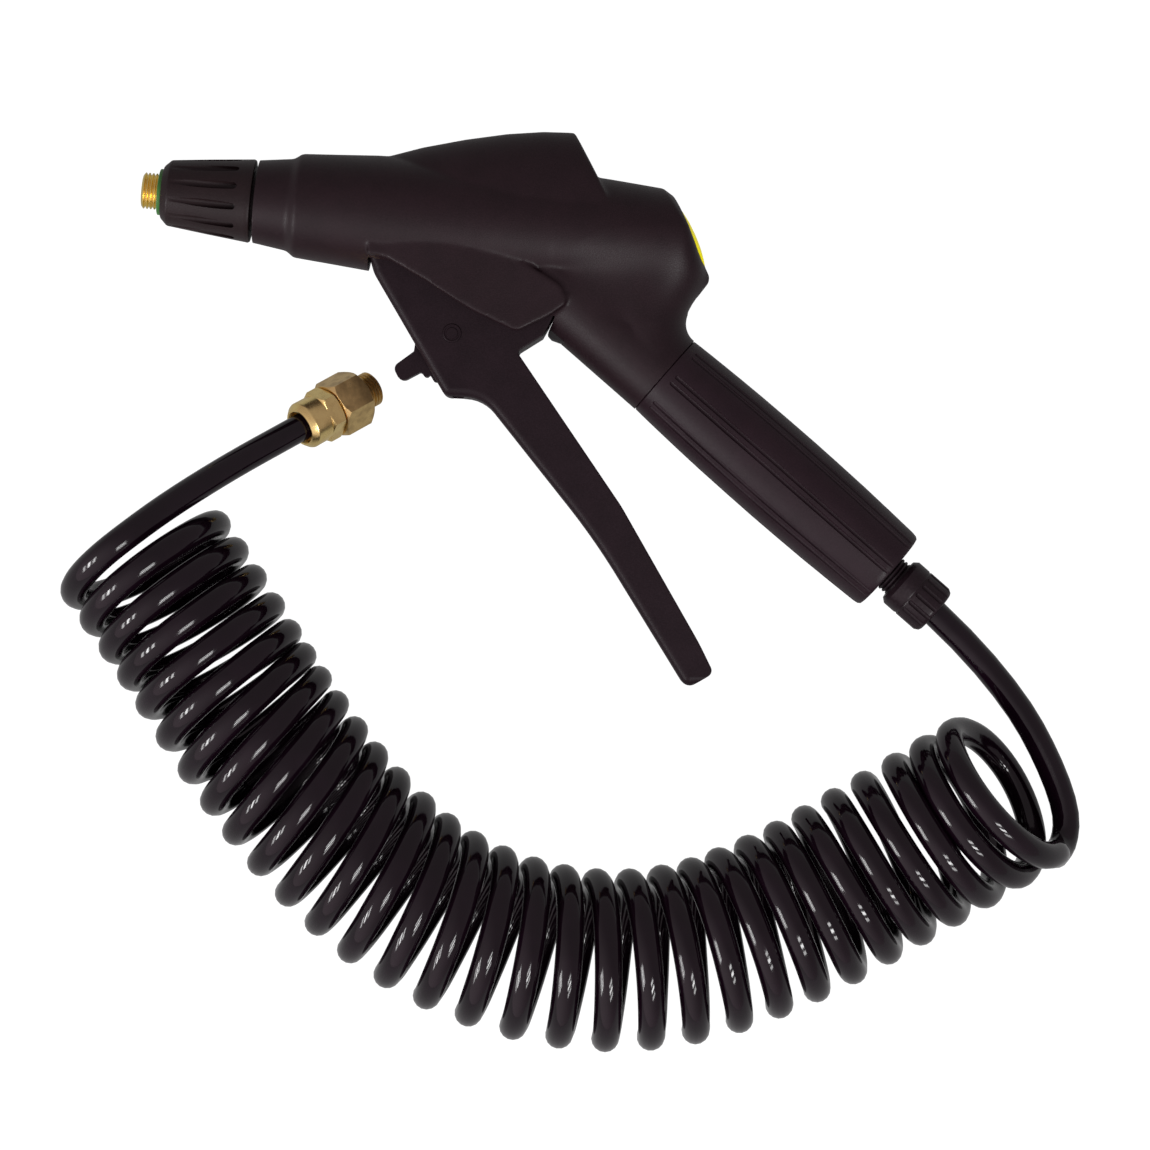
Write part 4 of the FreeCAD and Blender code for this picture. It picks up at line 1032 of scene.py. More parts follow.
    def build(self, ends: list[bpy.types.Object]) -> bpy.types.Object:
        """Args:
            ends: the pieces on its far end; not used.

        Returns:
            The hose.
        """
        points = self.points()
        hose = self.spline("air_hose", points)
        hose.data.bevel_depth = self.diameter / 2 * MM
        hose.data.bevel_resolution = 6
        hose.data.use_fill_caps = True
        Finish.HOSE.on(hose)
        centreline = self.followed(self.spline("centreline", points))
        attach(hose, "gun")
        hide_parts("hose_coil", "hose_gun_tail", "hose_far_tail")
        tuple(GUN.on_grip(self.exit))
        return hose


# ---------------------------------------------------------------------------------------------
# Body
# ---------------------------------------------------------------------------------------------
@dataclass
class BodyShells:
    """The gun's moulded body: one blended form, cut out for its fittings and split in two halves.

    Attributes:
        core: half outline round the barrel from the collar to the hood's back.
        dome: half outline of the rear dome before its cone is cut.
        rim: half outline of the cap's rim, (from the rim, radius) on the cap's axis.
        flare: what bounds the dome behind, the same way.
        crown: what bounds its top.
        crown_v: height above which the crown counts.
        hood: (u, height of the hood's top, half width) stations.
        hood_back: top and foot of the hood's back face.
        neck_r: radius of the neck.
        neck_front: where the neck starts, t along the grip.
        elbow_r: inner radius of the bend between dome and grip.
        elbow_sweep: degrees that the bend turns.
        web: outline of the web between neck and dome.
        web_half: its half width.
        skirt: outline of the skirts beside the trigger.
        skirt_in: inner face of a skirt from the mid-plane.
        skirt_out: its outer face at the widest place.
        skirt_bulge: radius of that face, seen along the barrel's height.
        skirt_least: least distance of that face from the mid-plane.
        skirt_middle: u of the widest place.
        cap: half outline of the cap in the dome's rim, on the cap's axis.
        grid: (outside, inside) size of the cells in which the forms run together.
        rounds: smoothing steps over the whole outside.
        blends: corners that run smoothly together: (from, to, full width, fade, least w, rounds).
        front: u at which the front end is cut square.
        slot_half: half width of the trigger's slot.
        slot_reach: radius that the trigger's heel needs round the pivot.
        slot_top: ceiling of the trigger's slot.
        slot_front: u of its front wall.
        pin: radius and half length of the trigger pin's hole.
        wall: thickness of the wall.
        cavity: from and to, u of the hollow.
        bore: half outline of the knob's bearing bore and the barrel's bore.
        well: radius and top of the valve's well.
        cap_seat: half outline of the cap's seat, on the cap's axis.
        core_hole: (radius, from, to) of the handle core's hole, along the grip.
        screws: places of the screws.
        screw_head: radius of a screw's hole and the w of its floor.
    """

    core: Pairs = ((38, 0), (38, 14.6), (54, 16.8), (56.8, 18.9), (62, 19.3), (70, 19.9), (84.5, 21.05),
                   (105, 21.7), (125, 21.95), (150, 21.6), (150, 0))
    dome: Pairs = ((148, 0), (148, 21.6), (168, 20.9), (187, 19.5), (213, 18.5), (213, 0))
    rim: Pairs = ((0, 0), (0, 16.2), (-0.96, 17.8))
    flare: Pairs = ((-9.3, 22.3), (-12.4, 24.7), (-12.4, 80), (-90, 80), (-90, 0))
    crown: Pairs = ((-2.4, 20.4), (-9, 27), (-9, 80), (-90, 80), (-90, 0))
    crown_v: float = 8.0
    hood: Triples = ((86, 20.5, 13), (100, 25.6, 17), (115, 29.95, 19.3), (130, 33.5, 20.2),
                     (143, 35.6, 20.3), (153, 36.3, 20), (168, 36, 19))
    hood_back: Pairs = ((154.2, 36.4), (164.4, 20))
    neck_r: float = 16.4
    neck_front: float = -58.0
    elbow_r: float = 8.2
    elbow_sweep: float = 109.0
    web: Triples = ((158, -10, 0), (160, -24, 0), (166, -27, 0), (193, -46, 0), (187.4, -38.2, 0),
                    (185.4, -27, 0), (188, -10, 0))
    web_half: float = 15.7
    skirt: Triples = ((84.5, -4, 0), (84.5, -15.9, 0), (91, -16.4, 20), (106, -23.4, 60), (123, -32.2, 60),
                      (140.6, -38.5, 3), (151.6, -31.8, 2.5), (158.4, -26.2, 2.6), (154.8, -20.4, 8),
                      (143.5, -14.6, 20), (132, -11, 0), (130, -4, 0))
    skirt_in: float = 10.0
    skirt_out: float = 19.6
    skirt_bulge: float = 150.0
    skirt_least: float = 17.7
    skirt_middle: float = 114.0
    cap: Pairs = ((-8.2, 0), (-8.2, 9.8), (-1.25, 9.8), (-1.25, 11.95), (-0.1, 11.95), (0.2, 11.75),
                  (0.7, 9.6), (1.2, 6.4), (1.45, 3.2), (1.5, 0))
    grid: Pair = (0.68, 1.1)
    rounds: int = 5
    blends: tuple[tuple, ...] = (((164.4, 20), (164, 23), 7, 8, 0, 20),
                                 ((174, -15), (203, -11), 7, 10, 7, 500),
                                 ((162, -13), (166, -22), 2, 7, 6, 60),
                                 ((166, -27), (168, -29), 4, 6, 0, 30))
    front: float = 41.6
    slot_half: float = 12.4
    slot_reach: float = 65.9
    slot_top: float = -7.2
    slot_front: float = 84.5
    pin: Pair = (2.25, 16.0)
    wall: float = 2.4
    cavity: Pair = (62.0, 178.0)
    bore: Pairs = ((40, 0), (40, 10.55), (45.9, 10.55), (45.9, 12.55), (49.1, 12.55), (49.1, 10.55),
                   (63, 10.55), (63, 5.65), (120, 5.65), (120, 0))
    well: Pair = (9.55, 24.05)
    cap_seat: Pairs = ((-8.2, 0), (-8.2, 9.85), (-1.25, 9.85), (-1.25, 12.05), (3, 12.05), (3, 0))
    core_hole: Triple = (12.65, -24.0, 1.0)
    screws: Pairs = ((70, 13), (70, -13), (143, 26), (184, 9), (184, -10))
    screw_head: Pair = (3.2, -8.6)

    def rear(self) -> list[bpy.types.Object]:
        """Dome, elbow and crown, each cut to its side of the cap's cone."""
        dome = lathe("dome", GUN.barrel, self.dome)
        crown = copied(dome, "crown")
        carve(dome, lathe("flare", GUN.cap, self.rim + self.flare), operation="INTERSECT")
        carve(crown, lathe("crown_cone", GUN.cap, self.rim + self.crown), operation="INTERSECT")
        halved(crown, GUN.at(0, self.crown_v), Vector((0, -1, 0)))
        centre = GUN.on_grip(0, self.neck_r + self.elbow_r)
        clear_selection()
        bpy.ops.mesh.primitive_circle_add(vertices=72, radius=(self.neck_r - 0.1) * MM, fill_type="NGON")
        elbow = bpy.context.object
        elbow.name = "elbow"
        turn = GUN.grip.along.to_track_quat("Z", "X").to_matrix().to_4x4()
        elbow.matrix_world = Matrix.Translation(GUN.on_grip(0)) @ turn
        settle()
        with editing(elbow):
            bpy.ops.mesh.spin(steps=40, angle=math.radians(self.elbow_sweep), center=centre, axis=UP)
        tidy(elbow)
        carve(elbow, lathe("flare", GUN.cap, self.rim + self.flare), operation="INTERSECT")
        return [dome, crown, elbow]

    def hood_loft(self, inset: float = 0.0) -> bpy.types.Object:
        """Bridges ellipses from front to back, cut level with the barrel's axis and behind.

        Args:
            inset: how far the surface lies inside the hood's outside.

        Returns:
            The hood's form.
        """
        rings = []
        for u, top, half in self.hood:
            clear_selection()
            bpy.ops.mesh.primitive_circle_add(vertices=96, radius=MM, location=GUN.at(u, 0),
                                              rotation=(0, math.pi / 2, 0))
            rings.append(bpy.context.object)
            bpy.ops.object.transform_apply(location=False, rotation=True, scale=True)
            bpy.ops.transform.resize(value=(1, top - inset, half - inset))
            settle()
        hood = joined("hood", rings)
        with editing(hood):
            bpy.ops.mesh.bridge_edge_loops()
        halved(closed_ends(hood), GUN.at(0, 0), Vector((0, -1, 0)))
        (top_u, top_v), (foot_u, foot_v) = self.hood_back
        back = Vector((top_v - foot_v, foot_u - top_u, 0))
        return halved(hood, GUN.at(top_u - inset * 1.3, top_v), back)

    def skirt_plates(self) -> list[bpy.types.Object]:
        """Both skirts, with outer faces that bulge gently along the barrel."""
        pair = []
        for side in (1, -1):
            skirt = plate("skirt", self.skirt, *sorted((side * self.skirt_in, side * (self.skirt_out + 2))))
            centre = GUN.at(self.skirt_middle, -10, side * (self.skirt_out - self.skirt_bulge))
            bulge = rod("bulge", Axis(centre, Vector((0, 1, 0)), UP), self.skirt_bulge, -60, 60, 360)
            pair.append(carve(skirt, bulge, operation="INTERSECT"))
            pair.append(plate("skirt", self.skirt, *sorted((side * self.skirt_in, side * self.skirt_least))))
        return pair

    def form(self) -> bpy.types.Object:
        """The outer form: all parts run together, with blended corners."""
        front = lathe("front", GUN.barrel, self.core)
        neck = rod("neck", GUN.grip, self.neck_r, self.neck_front, 4.0, 96)
        web = plate("web", self.web, -self.web_half, self.web_half)
        parts = [front, *self.rear(), self.hood_loft(), neck, web, *self.skirt_plates()]
        body = joined("body", parts)
        finish_modifier(body, "REMESH", mode="VOXEL", voxel_size=self.grid[0] * MM, adaptivity=0.0)
        soften(body, self.rounds)
        for start, stop, core, fade, least, rounds in self.blends:

            def near(place: Vector) -> float:
                """Weight of one blend: near its line in the side view and away from the outline."""
                spot = (place - GUN.origin) / MM
                flat, a, b = Vector(spot[:2]), Vector(start), Vector(stop)
                share = max(0.0, min(1.0, (flat - a).dot(b - a) / max((b - a).length_squared, 1e-9)))
                weight = min(1.0, max(0.0, (core + fade - (flat - a.lerp(b, share)).length) / fade))
                return weight * min(1.0, max(0.0, (abs(spot.z) - least) / 4 + 1))

            soften(body, rounds, near)
        halved(body, GUN.at(self.front, 0), Vector((-1, 0, 0)))
        halved(body, GUN.on_grip(0), GUN.grip.along)
        return body

    def hollow(self) -> bpy.types.Object:
        """The space inside, with floors over the trigger's slot and behind the nose."""
        start, stop = self.cavity
        back_u, back_r = self.dome[2]
        core = [(start, 0)] + [(u, r - self.wall) for u, r in self.core[4:-1]]
        core += [(back_u, back_r - self.wall), (stop, back_r - self.wall), (stop, 0)]
        space = joined("space", [lathe("core_space", GUN.barrel, core), self.hood_loft(self.wall)])
        finish_modifier(space, "REMESH", mode="VOXEL", voxel_size=self.grid[1] * MM, adaptivity=0.0)
        ceiling = self.slot_top + self.wall
        ahead, behind, front = start - 2, GUN.PIVOT[0] + self.slot_reach + 3, self.slot_front
        low, high, side = -40, 45, 30
        floor = plate("floor", ((ahead, low, 0), (behind, low, 0), (behind, ceiling, 0), (ahead, ceiling, 0)),
                      -side, side)
        nose = plate("bulkhead", ((ahead, ceiling - 1, 0), (front, ceiling - 1, 0), (front, high, 0),
                                  (ahead, high, 0)), -side, side)
        return carve(space, floor, nose)

    def cuts(self) -> list[bpy.types.Object]:
        """Everything that is cut out of the body for the pieces in it."""
        pivot = cross(*GUN.PIVOT)
        slot = rod("slot", pivot, self.slot_reach, -self.slot_half, self.slot_half, 128)
        halved(slot, GUN.at(0, self.slot_top), Vector((0, 1, 0)))
        halved(slot, GUN.at(self.slot_front, 0), Vector((-1, 0, 0)))
        well_r, well_top = self.well
        pin_r, pin_half = self.pin
        head_r, head_floor = self.screw_head
        return [
            slot,
            lathe("bore", GUN.barrel, self.bore),
            rod("well", GUN.valve, well_r, self.slot_top - 1, well_top),
            lathe("cap_seat", GUN.cap, self.cap_seat),
            rod("core_hole", GUN.grip, *self.core_hole),
            rod("pin_hole", pivot, pin_r, -pin_half, pin_half),
            *(rod("screw_hole", cross(*place), head_r, -30, head_floor, 32) for place in self.screws),
        ]

    def build(self) -> None:
        """Makes both halves and the cap behind."""
        body = self.form()
        carve(body, self.hollow(), *self.cuts())
        low = copied(body, "body_half_low")
        halved(low, GUN.at(0, 0), UP)
        body.name = "body_half_high"
        halved(body, GUN.at(0, 0), -UP)
        for half, node in ((body, "body_shell_left"), (low, "body_shell_right")):
            hand_in(half, Finish.BODY, "body_plastic", "gun", node, sharp=62.0, flat=False)
        cap = lathe("cap_behind", GUN.cap, self.cap, 128)
        hand_in(cap, Finish.YELLOW, "cap_yellow", "gun", "rear_cap")


# ---------------------------------------------------------------------------------------------
# Trigger and latch
# ---------------------------------------------------------------------------------------------
@dataclass
class Trigger:
    """Trigger lever, its latch and the latch's pin.

    Attributes:
        outline: (u, v, corner radius) of the lever's side, from its front corner down to the toe.
        half: half width.
        hollow: outline of the space between its cheeks.
        hollow_half: half width of that space.
        front_edge: radius of the long edges that face the fingers.
        other_edge: radius of the other edges.
        front_side: (v, u, lean, middle): an edge below v with u + lean * v under middle is in front.
        pin_hole: radius of the pivot pin's hole.
        boss: radius of the boss round it.
        pad: outline of the pad that lifts the valve's stem.
        slot: outline of the latch's slot.
        slot_half: its half width.
        latch: outline of the latch.
        latch_half: its half width.
        latch_pivot: place of the latch's pin.
        latch_holes: radii of that pin's holes in the lever and in the latch.
        head_seat: (radius, w of its floor) of the seats for the pin's heads.
        reach: half length of the bars that cut holes.
        latch_pin: (w, radius) half outline of the pin's upper half.
    """

    outline: Triples = ((84.9, -16.4, 0), (87.2, -22.4, 12), (101.3, -41.9, 60), (117.2, -64, 3.6),
                        (130.8, -63.3, 14), (176, -110, 260), (214.6, -160.8, 3.6), (223.8, -154, 2.5),
                        (217.6, -143.9, 110), (184.6, -97.3, 60), (141.6, -45.6, 1.4), (150.2, -39, 0.8),
                        (151.9, -35.2, 0), (153.3, -31.4, 0), (154.4, -27.4, 0), (154.9, -24.5, 2),
                        (93.5, -8, 1.5), (88, -8, 1.5), (84.9, -13, 1))
    half: float = 12.0
    hollow: Triples = ((88.2, -18.66, 0), (120.7, -65.2, 0.6), (132.4, -59.3, 14), (179, -107.4, 260),
                       (217.8, -158.4, 0), (237.8, -147, 0), (198, -88, 0), (143.2, -47.1, 0),
                       (139.2, -42.6, 0), (149.2, -35.5, 0), (162.2, -35.5, 0), (164.5, -14.2, 0),
                       (95, 2, 0), (84, 2, 0))
    hollow_half: float = 9.4
    front_edge: float = 3.3
    other_edge: float = 0.7
    front_side: Triple = (-15.4, 0.78, 96.0)
    pin_hole: float = 2.25
    boss: float = 4.0
    pad: Triples = ((118.8, -18.9, 0.6), (125.2, -18.9, 0.6), (125.2, -15.5, 0.6), (118.8, -15.5, 0.6))
    slot: Triples = ((100.2, -44.0, 0), (112.2, -61.5, 0), (122.1, -54.7, 0), (110.1, -37.2, 0))
    slot_half: float = 4.3
    latch: Triples = ((118.5, -35.6, 4), (104.3, -44.6, 1), (104.1, -48.7, 1), (97, -55, 2.6),
                      (100.5, -60.5, 2.7), (107.4, -55.9, 0.8), (109.6, -58.2, 1.2), (110.8, -56.6, 0.3),
                      (112.9, -59.6, 1.2), (115.4, -57.2, 1), (123.6, -43, 4))
    latch_half: float = 3.9
    latch_pivot: Pair = (117.5, -41.2)
    latch_holes: Pair = (2.42, 2.45)
    head_seat: Pair = (3.5, 10.9)
    reach: float = 14.0
    latch_pin: Pairs = ((0, 0), (0, 2.4), (11, 2.4), (11, 3.4), (12.05, 3.4), (12.25, 3.15), (12.25, 2.8),
                        (11.95, 2.6), (11.95, 2.1), (12.2, 1.9), (12.2, 0))

    def bevel(self, lever: bpy.types.Object, front: bool, width: float, segments: int) -> None:
        """Rounds the long edges on both sides of the lever.

        Args:
            lever: the lever, still a plain plate.
            front: whether its front edges are rounded, or all the others.
            width: radius in millimetres.
            segments: faces across the rounding.
        """
        v_front, lean, middle = self.front_side
        with editing(lever, "DESELECT"):
            bpy.ops.mesh.select_mode(type="EDGE")
        vertices = lever.data.vertices
        for edge in lever.data.edges:
            a, b = (vertices[i].co - GUN.origin for i in edge.vertices)
            on_side = min(abs(a.z), abs(b.z)) > (self.half - 0.01) * MM and abs(a.z - b.z) < 1e-6
            m = (a + b) / (2 * MM)
            ahead = m.y < v_front and m.x + lean * m.y < middle
            edge.select = on_side and ahead == front
        bpy.ops.object.mode_set(mode="EDIT")
        bpy.ops.mesh.bevel(offset=width * MM, segments=segments, profile=0.5)
        bpy.ops.mesh.select_mode(type="VERT")
        bpy.ops.object.mode_set(mode="OBJECT")

    def lever(self) -> bpy.types.Object:
        """The lever: a plate with rounded edges, hollowed from behind."""
        lever = plate("trigger", self.outline, -self.half, self.half)
        self.bevel(lever, True, self.front_edge, 5)
        self.bevel(lever, False, self.other_edge, 2)
        tidy(lever)
        carve(lever, plate("hollow", self.hollow, -self.hollow_half, self.hollow_half))
        pivot, latch_axis = cross(*GUN.PIVOT), cross(*self.latch_pivot)
        inside = self.hollow_half + 0.2
        carve(lever, plate("pad", self.pad, -inside, inside),
              rod("boss", pivot, self.boss, -inside, inside), operation="UNION")
        seat_r, seat_w = self.head_seat
        return carve(
            lever,
            plate("slot", self.slot, -self.slot_half, self.slot_half),
            rod("hole", pivot, self.pin_hole, -self.reach, self.reach),
            rod("latch_hole", latch_axis, self.latch_holes[0], -self.reach, self.reach),
            rod("head_seat", latch_axis, seat_r, seat_w, self.reach),
            rod("head_seat", latch_axis, seat_r, -self.reach, -seat_w),
        )

    def build(self) -> None:
        """Makes the three pieces."""
        hand_in(self.lever(), Finish.LEVER, "lever_plastic", "trigger", "trigger_lever", sharp=40.0)
        latch = plate("latch", self.latch, -self.latch_half, self.latch_half)
        finish_modifier(latch, "BEVEL", width=0.45 * MM, segments=2, limit_method="ANGLE",
                        angle_limit=math.radians(50))
        axis = cross(*self.latch_pivot)
        carve(latch, rod("hole", axis, self.latch_holes[1], -self.reach, self.reach))
        hand_in(latch, Finish.LEVER, "lever_plastic", "latch", "latch_lever")
        high = lathe("latch_pin_end", axis, self.latch_pin, 48)
        low = copied(high, "low_end")
        pick(low)
        bpy.ops.transform.mirror(orient_type="GLOBAL", constraint_axis=(False, False, True),
                                 center_override=axis.origin)
        settle()
        pin = tidy(joined("latch_pin_ends", [high, low]))
        hand_in(pin, Finish.LEVER, "lever_plastic", "trigger", "latch_pin")


# ---------------------------------------------------------------------------------------------
# Handle
# ---------------------------------------------------------------------------------------------
@dataclass
class Handle:
    """Grip sleeve, gland nut and stop pad.

    Attributes:
        sleeve: (t, radius) closed half outline of the grip sleeve.
        pairs: number of groove pairs round it.
        spread: degrees between the two grooves of a pair.
        grooves: (radius, start, its centre from the axis there, stop, centre there) of each run.
        nut: closed half outline of the gland nut.
        flutes: number of its flutes.
        flute: (radius, start, centre there, stop, centre there).
        pad: outline of the stop pad.
        pad_half: its half width.
        pad_clear: radius round the trigger's pivot that the pad stays out of.
    """

    sleeve: Pairs = ((0.12, 12.62), (0.12, 15.85), (0.5, 16.25), (3, 16.42), (8, 16.66), (14, 16.9),
                     (22, 17.18), (32, 17.45), (45, 17.6), (58, 17.65), (70, 17.52), (82, 17.3),
                     (95, 16.85), (105.8, 16.4), (107.6, 16.1), (108.4, 15.5), (108.6, 14.6),
                     (108.6, 12.62), (0.12, 12.62))
    pairs: int = 8
    spread: float = 10.0
    grooves: tuple[tuple[float, ...], ...] = ((0.85, 4.0, 16.72, 50.0, 17.88),
                                              (0.85, 50.0, 17.88, 112.0, 16.7))
    nut: Pairs = ((113.2, 7.05), (113.2, 8.45), (114.8, 9.75), (119.6, 9.75), (120.2, 9.45), (120.8, 9.75),
                  (129.2, 9.75), (130.6, 8.9), (131, 8.15), (131, 5.25), (126.6, 5.25), (126.6, 7.05),
                  (113.2, 7.05))
    flutes: int = 16
    flute: tuple[float, ...] = (0.95, 121.2, 9.95, 132.0, 9.95)
    pad: Triples = ((151.8, -37.9, 0.5), (153.6, -34.6, 0), (157.6, -27.6, 0), (161, -30, 0),
                    (160.5, -40.4, 0.6), (156.6, -40.2, 0.5), (153.4, -39.4, 0.6))
    pad_half: float = 6.0
    pad_clear: float = 65.6

    def bars(self, count: int, spec: tuple[float, ...], offsets: Sequence[float]) -> bpy.types.Object:
        """Round bars along the grip, joined, to cut grooves with.

        Args:
            count: groups round the axis.
            spec: (radius, start, centre from the axis there, stop, centre there).
            offsets: degrees of each bar from its group's middle.

        Returns:
            The cutter.
        """
        radius, start, low, stop, high = spec
        bars = []
        for i in range(count):
            for offset in offsets:
                turn = 360.0 * i / count + offset
                a, b = GUN.grip.at(start, low, turn), GUN.grip.at(stop, high, turn)
                along = (b - a).normalized()
                axis = Axis(a, along, along.cross(GUN.grip.side).cross(along).normalized())
                length, tip = (b - a).length / MM, radius * 0.8
                outline = [(-tip, 0), (0, radius), (length, radius), (length + tip, 0)]
                bars.append(lathe("bar", axis, outline, 12))
        return joined("bars", bars)

    def build(self) -> None:
        """Makes the pieces."""
        sleeve = lathe("grip", GUN.grip, self.sleeve, 144)
        for run in self.grooves:
            carve(sleeve, self.bars(self.pairs, run, (-self.spread / 2, self.spread / 2)))
        hand_in(sleeve, Finish.GRIP, "body_plastic", "gun", "grip_sleeve", sharp=34.0)
        nut = lathe("gland_cap", GUN.grip, self.nut, 96)
        carve(nut, self.bars(self.flutes, self.flute, (0.0,)))
        hand_in(nut, Finish.GLAND, "knob_plastic", "gun", "gland_nut")
        pad = plate("stop", self.pad, -self.pad_half, self.pad_half)
        carve(pad, rod("sweep", cross(*GUN.PIVOT), self.pad_clear, -20, 20, 160))
        finish_modifier(pad, "BEVEL", width=0.3 * MM, segments=2, limit_method="ANGLE")
        hand_in(pad, Finish.RUBBER, "rubber_black", "gun", "stop_pad")


# ---------------------------------------------------------------------------------------------
# Outlet
# ---------------------------------------------------------------------------------------------
@dataclass(frozen=True)
class PipeThread:
    """Quarter-inch pipe thread with flat crests, rounded grooves and a chamfered tip.

    Attributes:
        crest: outer radius.
        depth: depth of the grooves.
        pitch: from one groove to the next.
    """

    crest: float = 6.58
    depth: float = 0.86
    pitch: float = 1.337

    def outline(self, stop: float) -> list[Pair]:
        """Half outline from the tip to where the thread stops, in (distance, radius) points."""
        a = 0.75 * self.depth
        floor = self.crest - self.depth * 0.95
        points = [(0.0, self.crest - self.depth), (a, self.crest)]
        while a + self.pitch < stop:
            points += [(a + 0.18 * self.pitch, self.crest), (a + 0.5 * self.pitch, floor),
                       (a + 0.62 * self.pitch, floor), (a + 0.94 * self.pitch, self.crest)]
            a += self.pitch
        return points + [(stop, self.crest)]


@dataclass
class Outlet:
    """Front knob and threaded spigot.

    Attributes:
        knob: (u, radius) closed half outline of the knob.
        flutes: number of flutes round it.
        flute: (radius, centre from the axis, start, end) of a flute.
        spigot: outline of the spigot behind its thread.
        thread: its thread.
        thread_end: where the thread ends.
    """

    knob: Pairs = ((7.3, 8.8), (7.3, 9.4), (7.55, 9.8), (9.5, 11.7), (10.1, 12.0), (24, 13.57),
                   (38.4, 15.05), (39.6, 15.18), (40.2, 14.9), (40.3, 14.4), (40.3, 10.6), (12.3, 10.6),
                   (12.3, 8.8), (7.3, 8.8))
    flutes: int = 12
    flute: tuple[float, ...] = (1.5, 13.65, 2.0, 34.0)
    spigot: Pairs = ((6, 5.8), (7.5, 5.8), (7.5, 8.5), (12, 8.5), (12, 8), (26, 8), (26, 5.65), (16, 5.65),
                     (16, 3.4), (0.5, 3.4), (0, 3.9))
    thread: PipeThread = PipeThread()
    thread_end: float = 6.0

    def build(self) -> None:
        """Makes both pieces."""
        knob = lathe("knob", GUN.barrel, self.knob, 144)
        radius, reach, start, stop = self.flute
        bars = []
        for i in range(self.flutes):
            axis = Axis(GUN.barrel.at(0, reach, 360.0 * (i + 0.5) / self.flutes), GUN.barrel.along, UP)
            end = [(stop + radius * math.sin(a), radius * math.cos(a)) for a in (0, 0.4, 0.8, 1.2)]
            bars.append(lathe("bar", axis, [(start, 0), (start, radius), *end, (stop + radius, 0)], 24))
        carve(knob, joined("flutes", bars))
        hand_in(knob, Finish.KNOB, "knob_plastic", "knob", "front_knob")
        thread = self.thread.outline(self.thread_end)
        spigot = lathe("spigot", GUN.barrel, [*thread, *self.spigot, thread[0]], 72)
        hand_in(spigot, Finish.BRASS, "brass_bright", "gun", "nozzle_spigot", sharp=28.0)


# ---------------------------------------------------------------------------------------------
# Far fitting
# ---------------------------------------------------------------------------------------------
@dataclass
class FarFitting:
    """Brass compression fitting: threaded body and union nut.

    Attributes:
        thread: its thread.
        length: length of the thread and its relief.
        relief: length and radius of the relief.
        bore: radius of the bore.
        body: (across flats, start, stop, turn, chamfer) of the body's hexagon.
        spigot: (bore, radius, end) of the end inside the nut.
        nut: the same as body, for the nut.
        collar: (distance, radius) closed half outline of the nut's collar.
        nut_bore: radius of the nut's bore.
    """

    thread: PipeThread = PipeThread()
    length: float = 7.4
    relief: Pair = (1.0, 5.8)
    bore: float = 3.6
    body: tuple[float, ...] = (19.5, 7.4, 20.6, 4.0, 1.3)
    spigot: Triple = (5.1, 6.2, 28.6)
    nut: tuple[float, ...] = (17.5, 20.8, 26.8, -8.0, 0.8)
    collar: Pairs = ((25.6, 6.3), (25.6, 8.5), (26.0, 8.75), (33.0, 8.85), (33.6, 8.6), (35.0, 7.4),
                     (35.4, 7.0), (35.3, 6.35), (34.2, 5.7), (32.2, 5.62), (32.2, 6.3), (25.6, 6.3))
    nut_bore: float = 6.3

    def hexagon(self, name: str, flats: float, start: float, stop: float, degrees: float,
                chamfer: float) -> bpy.types.Object:
        """Hexagon bar with its corners turned off at both ends.

        Args:
            name: the piece's name.
            flats: across flats.
            start: first end on the fitting's axis.
            stop: other end.
            degrees: turn of a corner from the axis's side.
            chamfer: length of the turned-off part.

        Returns:
            The bar.
        """
        axis = GUN.fitting
        corner = flats / math.sqrt(3)
        bar = trace(name, [axis.at(start, corner, degrees + 60 * i) for i in range(6)], closed=True)
        drawn_out(bar, axis.along * ((stop - start) * MM))
        end_r, full_r = flats / 2 - 0.1, corner + 0.02
        turned = lathe("turned", axis, [(start, 0), (start, end_r), (start + chamfer, full_r),
                                        (stop - chamfer, full_r), (stop, end_r), (stop, 0)], 120)
        carve(bar, turned, operation="INTERSECT")
        return finish_modifier(bar, "BEVEL", width=0.22 * MM, segments=2, limit_method="ANGLE",
                               angle_limit=math.radians(22))

    def build(self) -> list[bpy.types.Object]:
        """Makes the body and the nut, and returns them."""
        axis = GUN.fitting
        relief, relief_r = self.relief
        root, end = self.length - relief, self.length + 0.1
        thread = self.thread.outline(root)
        outline = [*thread, (root, relief_r), (end, relief_r), (end, self.bore), (0.3, self.bore),
                   (0, self.bore + 0.4), thread[0]]
        body = self.hexagon("fitting_hex", *self.body)
        carve(body, rod("bore", axis, self.bore, 0, 30))
        hole, radius, stop = self.spigot
        start = self.body[2] - 0.1
        spigot = lathe("spigot", axis, [(start, hole), (start, radius), (stop, radius), (stop, hole),
                                        (start, hole)], 64)
        body = joined("fitting_hex", [body, lathe("thread", axis, outline, 72), spigot])
        hand_in(body, Finish.BRASS_DULL, "brass_dull", "gun", "fitting_body", sharp=25.0)
        nut = self.hexagon("fitting_nut", *self.nut)
        carve(nut, rod("bore", axis, self.nut_bore, 15, 40))
        nut = joined("fitting_nut", [nut, lathe("collar", axis, self.collar, 96)])
        hand_in(nut, Finish.BRASS_RED, "brass_bright", "gun", "union_nut", sharp=25.0)
        return [body, nut]


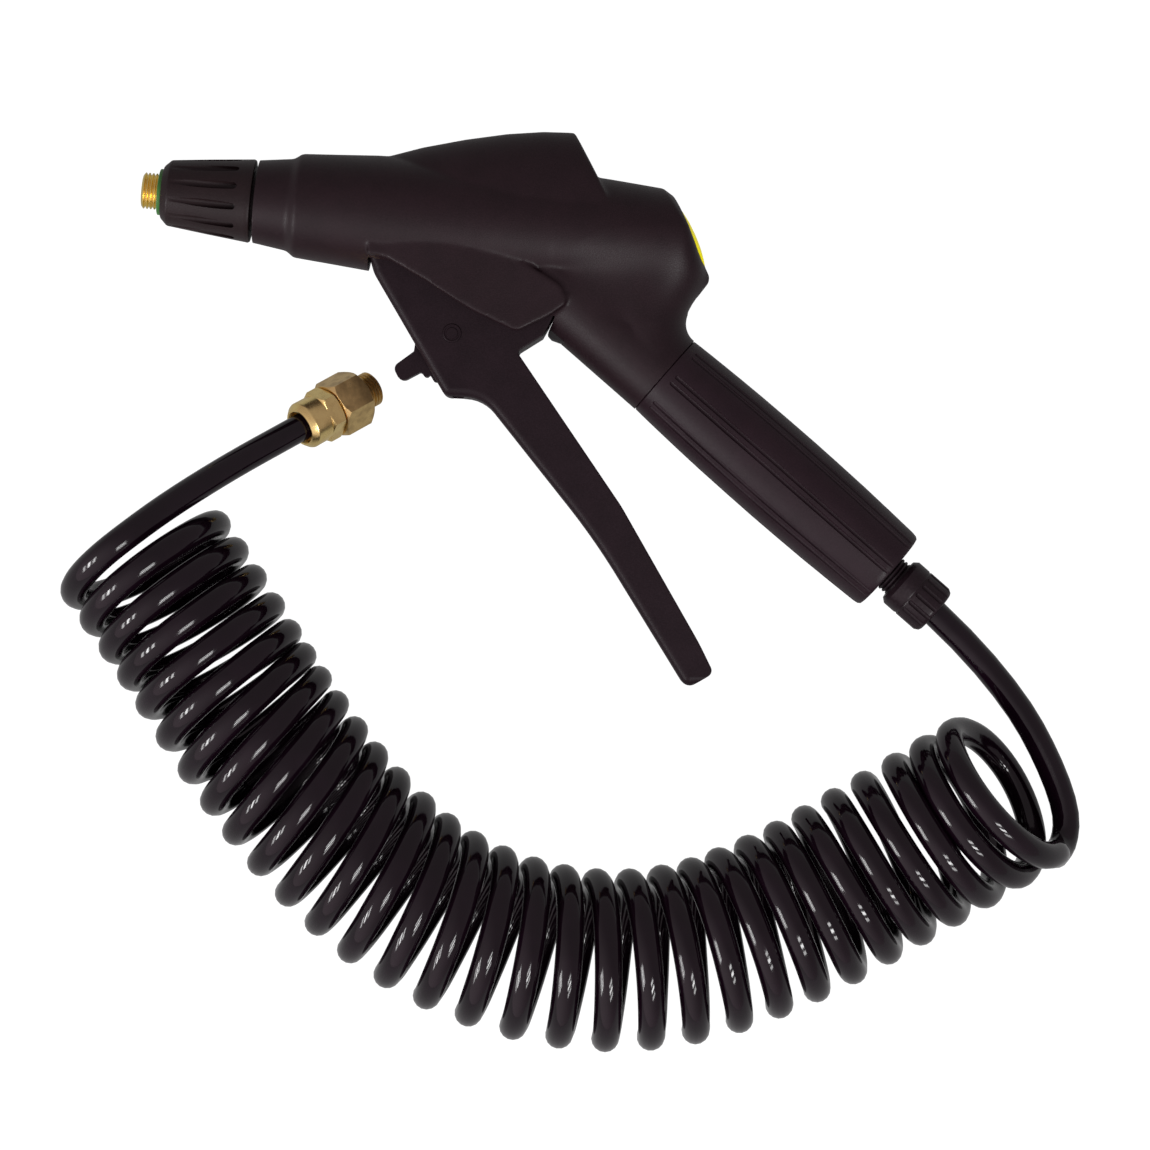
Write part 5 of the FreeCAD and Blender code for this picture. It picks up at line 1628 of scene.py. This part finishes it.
# ---------------------------------------------------------------------------------------------
# Valve spring
# ---------------------------------------------------------------------------------------------
@dataclass
class ValveSpring:
    """Coil spring between the poppet and the valve's cap.

    Attributes:
        wire: radius of the wire.
        mean: radius of the coil at the wire's centre.
        low: v of the wire's centre at the poppet.
        high: v of the wire's centre at the cap.
        turns: number of turns.
        lift: how far the valve's stroke presses it together.
    """

    wire: float = 0.45
    mean: float = 4.0
    low: float = 10.85
    high: float = 21.05
    turns: float = 4.5
    lift: float = 6.6

    def build(self) -> None:
        """Makes the spring."""
        bpy.ops.mesh.primitive_circle_add(vertices=10, radius=self.wire * MM, location=(self.mean * MM, 0, 0))
        spring = bpy.context.object
        spring.name = "spring_coil"
        settle()
        parts = 5
        finish_modifier(spring, "SCREW", axis="Y", angle=math.tau * self.turns / parts, iterations=parts,
                        screw_offset=(self.high - self.low) / parts * MM, steps=22, render_steps=22)
        closed_ends(spring)
        spring.location = GUN.valve.at(self.low)
        settle()
        hand_in(spring, Finish.STEEL, "steel", "gun", "valve_spring")
        length = self.high - self.low + 2 * self.wire
        tuple(GUN.valve.at(self.high + self.wire))
        1 - self.lift / length
        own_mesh(spring)


# ---------------------------------------------------------------------------------------------
# CAD nodes that keep their shape
# ---------------------------------------------------------------------------------------------
KEPT = {
    Finish.STEEL: ("shell_screws", "knob_clip", "trigger_pin"),
    Finish.KNOB: ("handle_core", "knob_bearing"),
    Finish.GLAND: ("gland_body",),
    Finish.BRASS_DULL: ("fitting_olive", "fitting_hose_sleeve", "gland_ferrule", "gland_hose_sleeve",
                        "barrel_tube", "valve_body", "valve_cap", "valve_stem", "inlet_tube"),
    Finish.GREEN: ("spigot_seal",),
    Finish.RUBBER: ("poppet_seal", "stem_seal"),
}


def dress_cad_nodes() -> None:
    """Gives each CAD node its finish."""
    for finish, names in KEPT.items():
        for name in names:
            finish.on(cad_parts[name])


def main() -> None:
    """Builds the scene."""
    logging.basicConfig(level=logging.INFO, format="%(name)s %(message)s")
    Studio().build()
    BodyShells().build()
    Trigger().build()
    Handle().build()
    Outlet().build()
    fitting = FarFitting().build()
    Hose().build(fitting)
    ValveSpring().build()
    dress_cad_nodes()


if __name__ == "__main__":
    main()
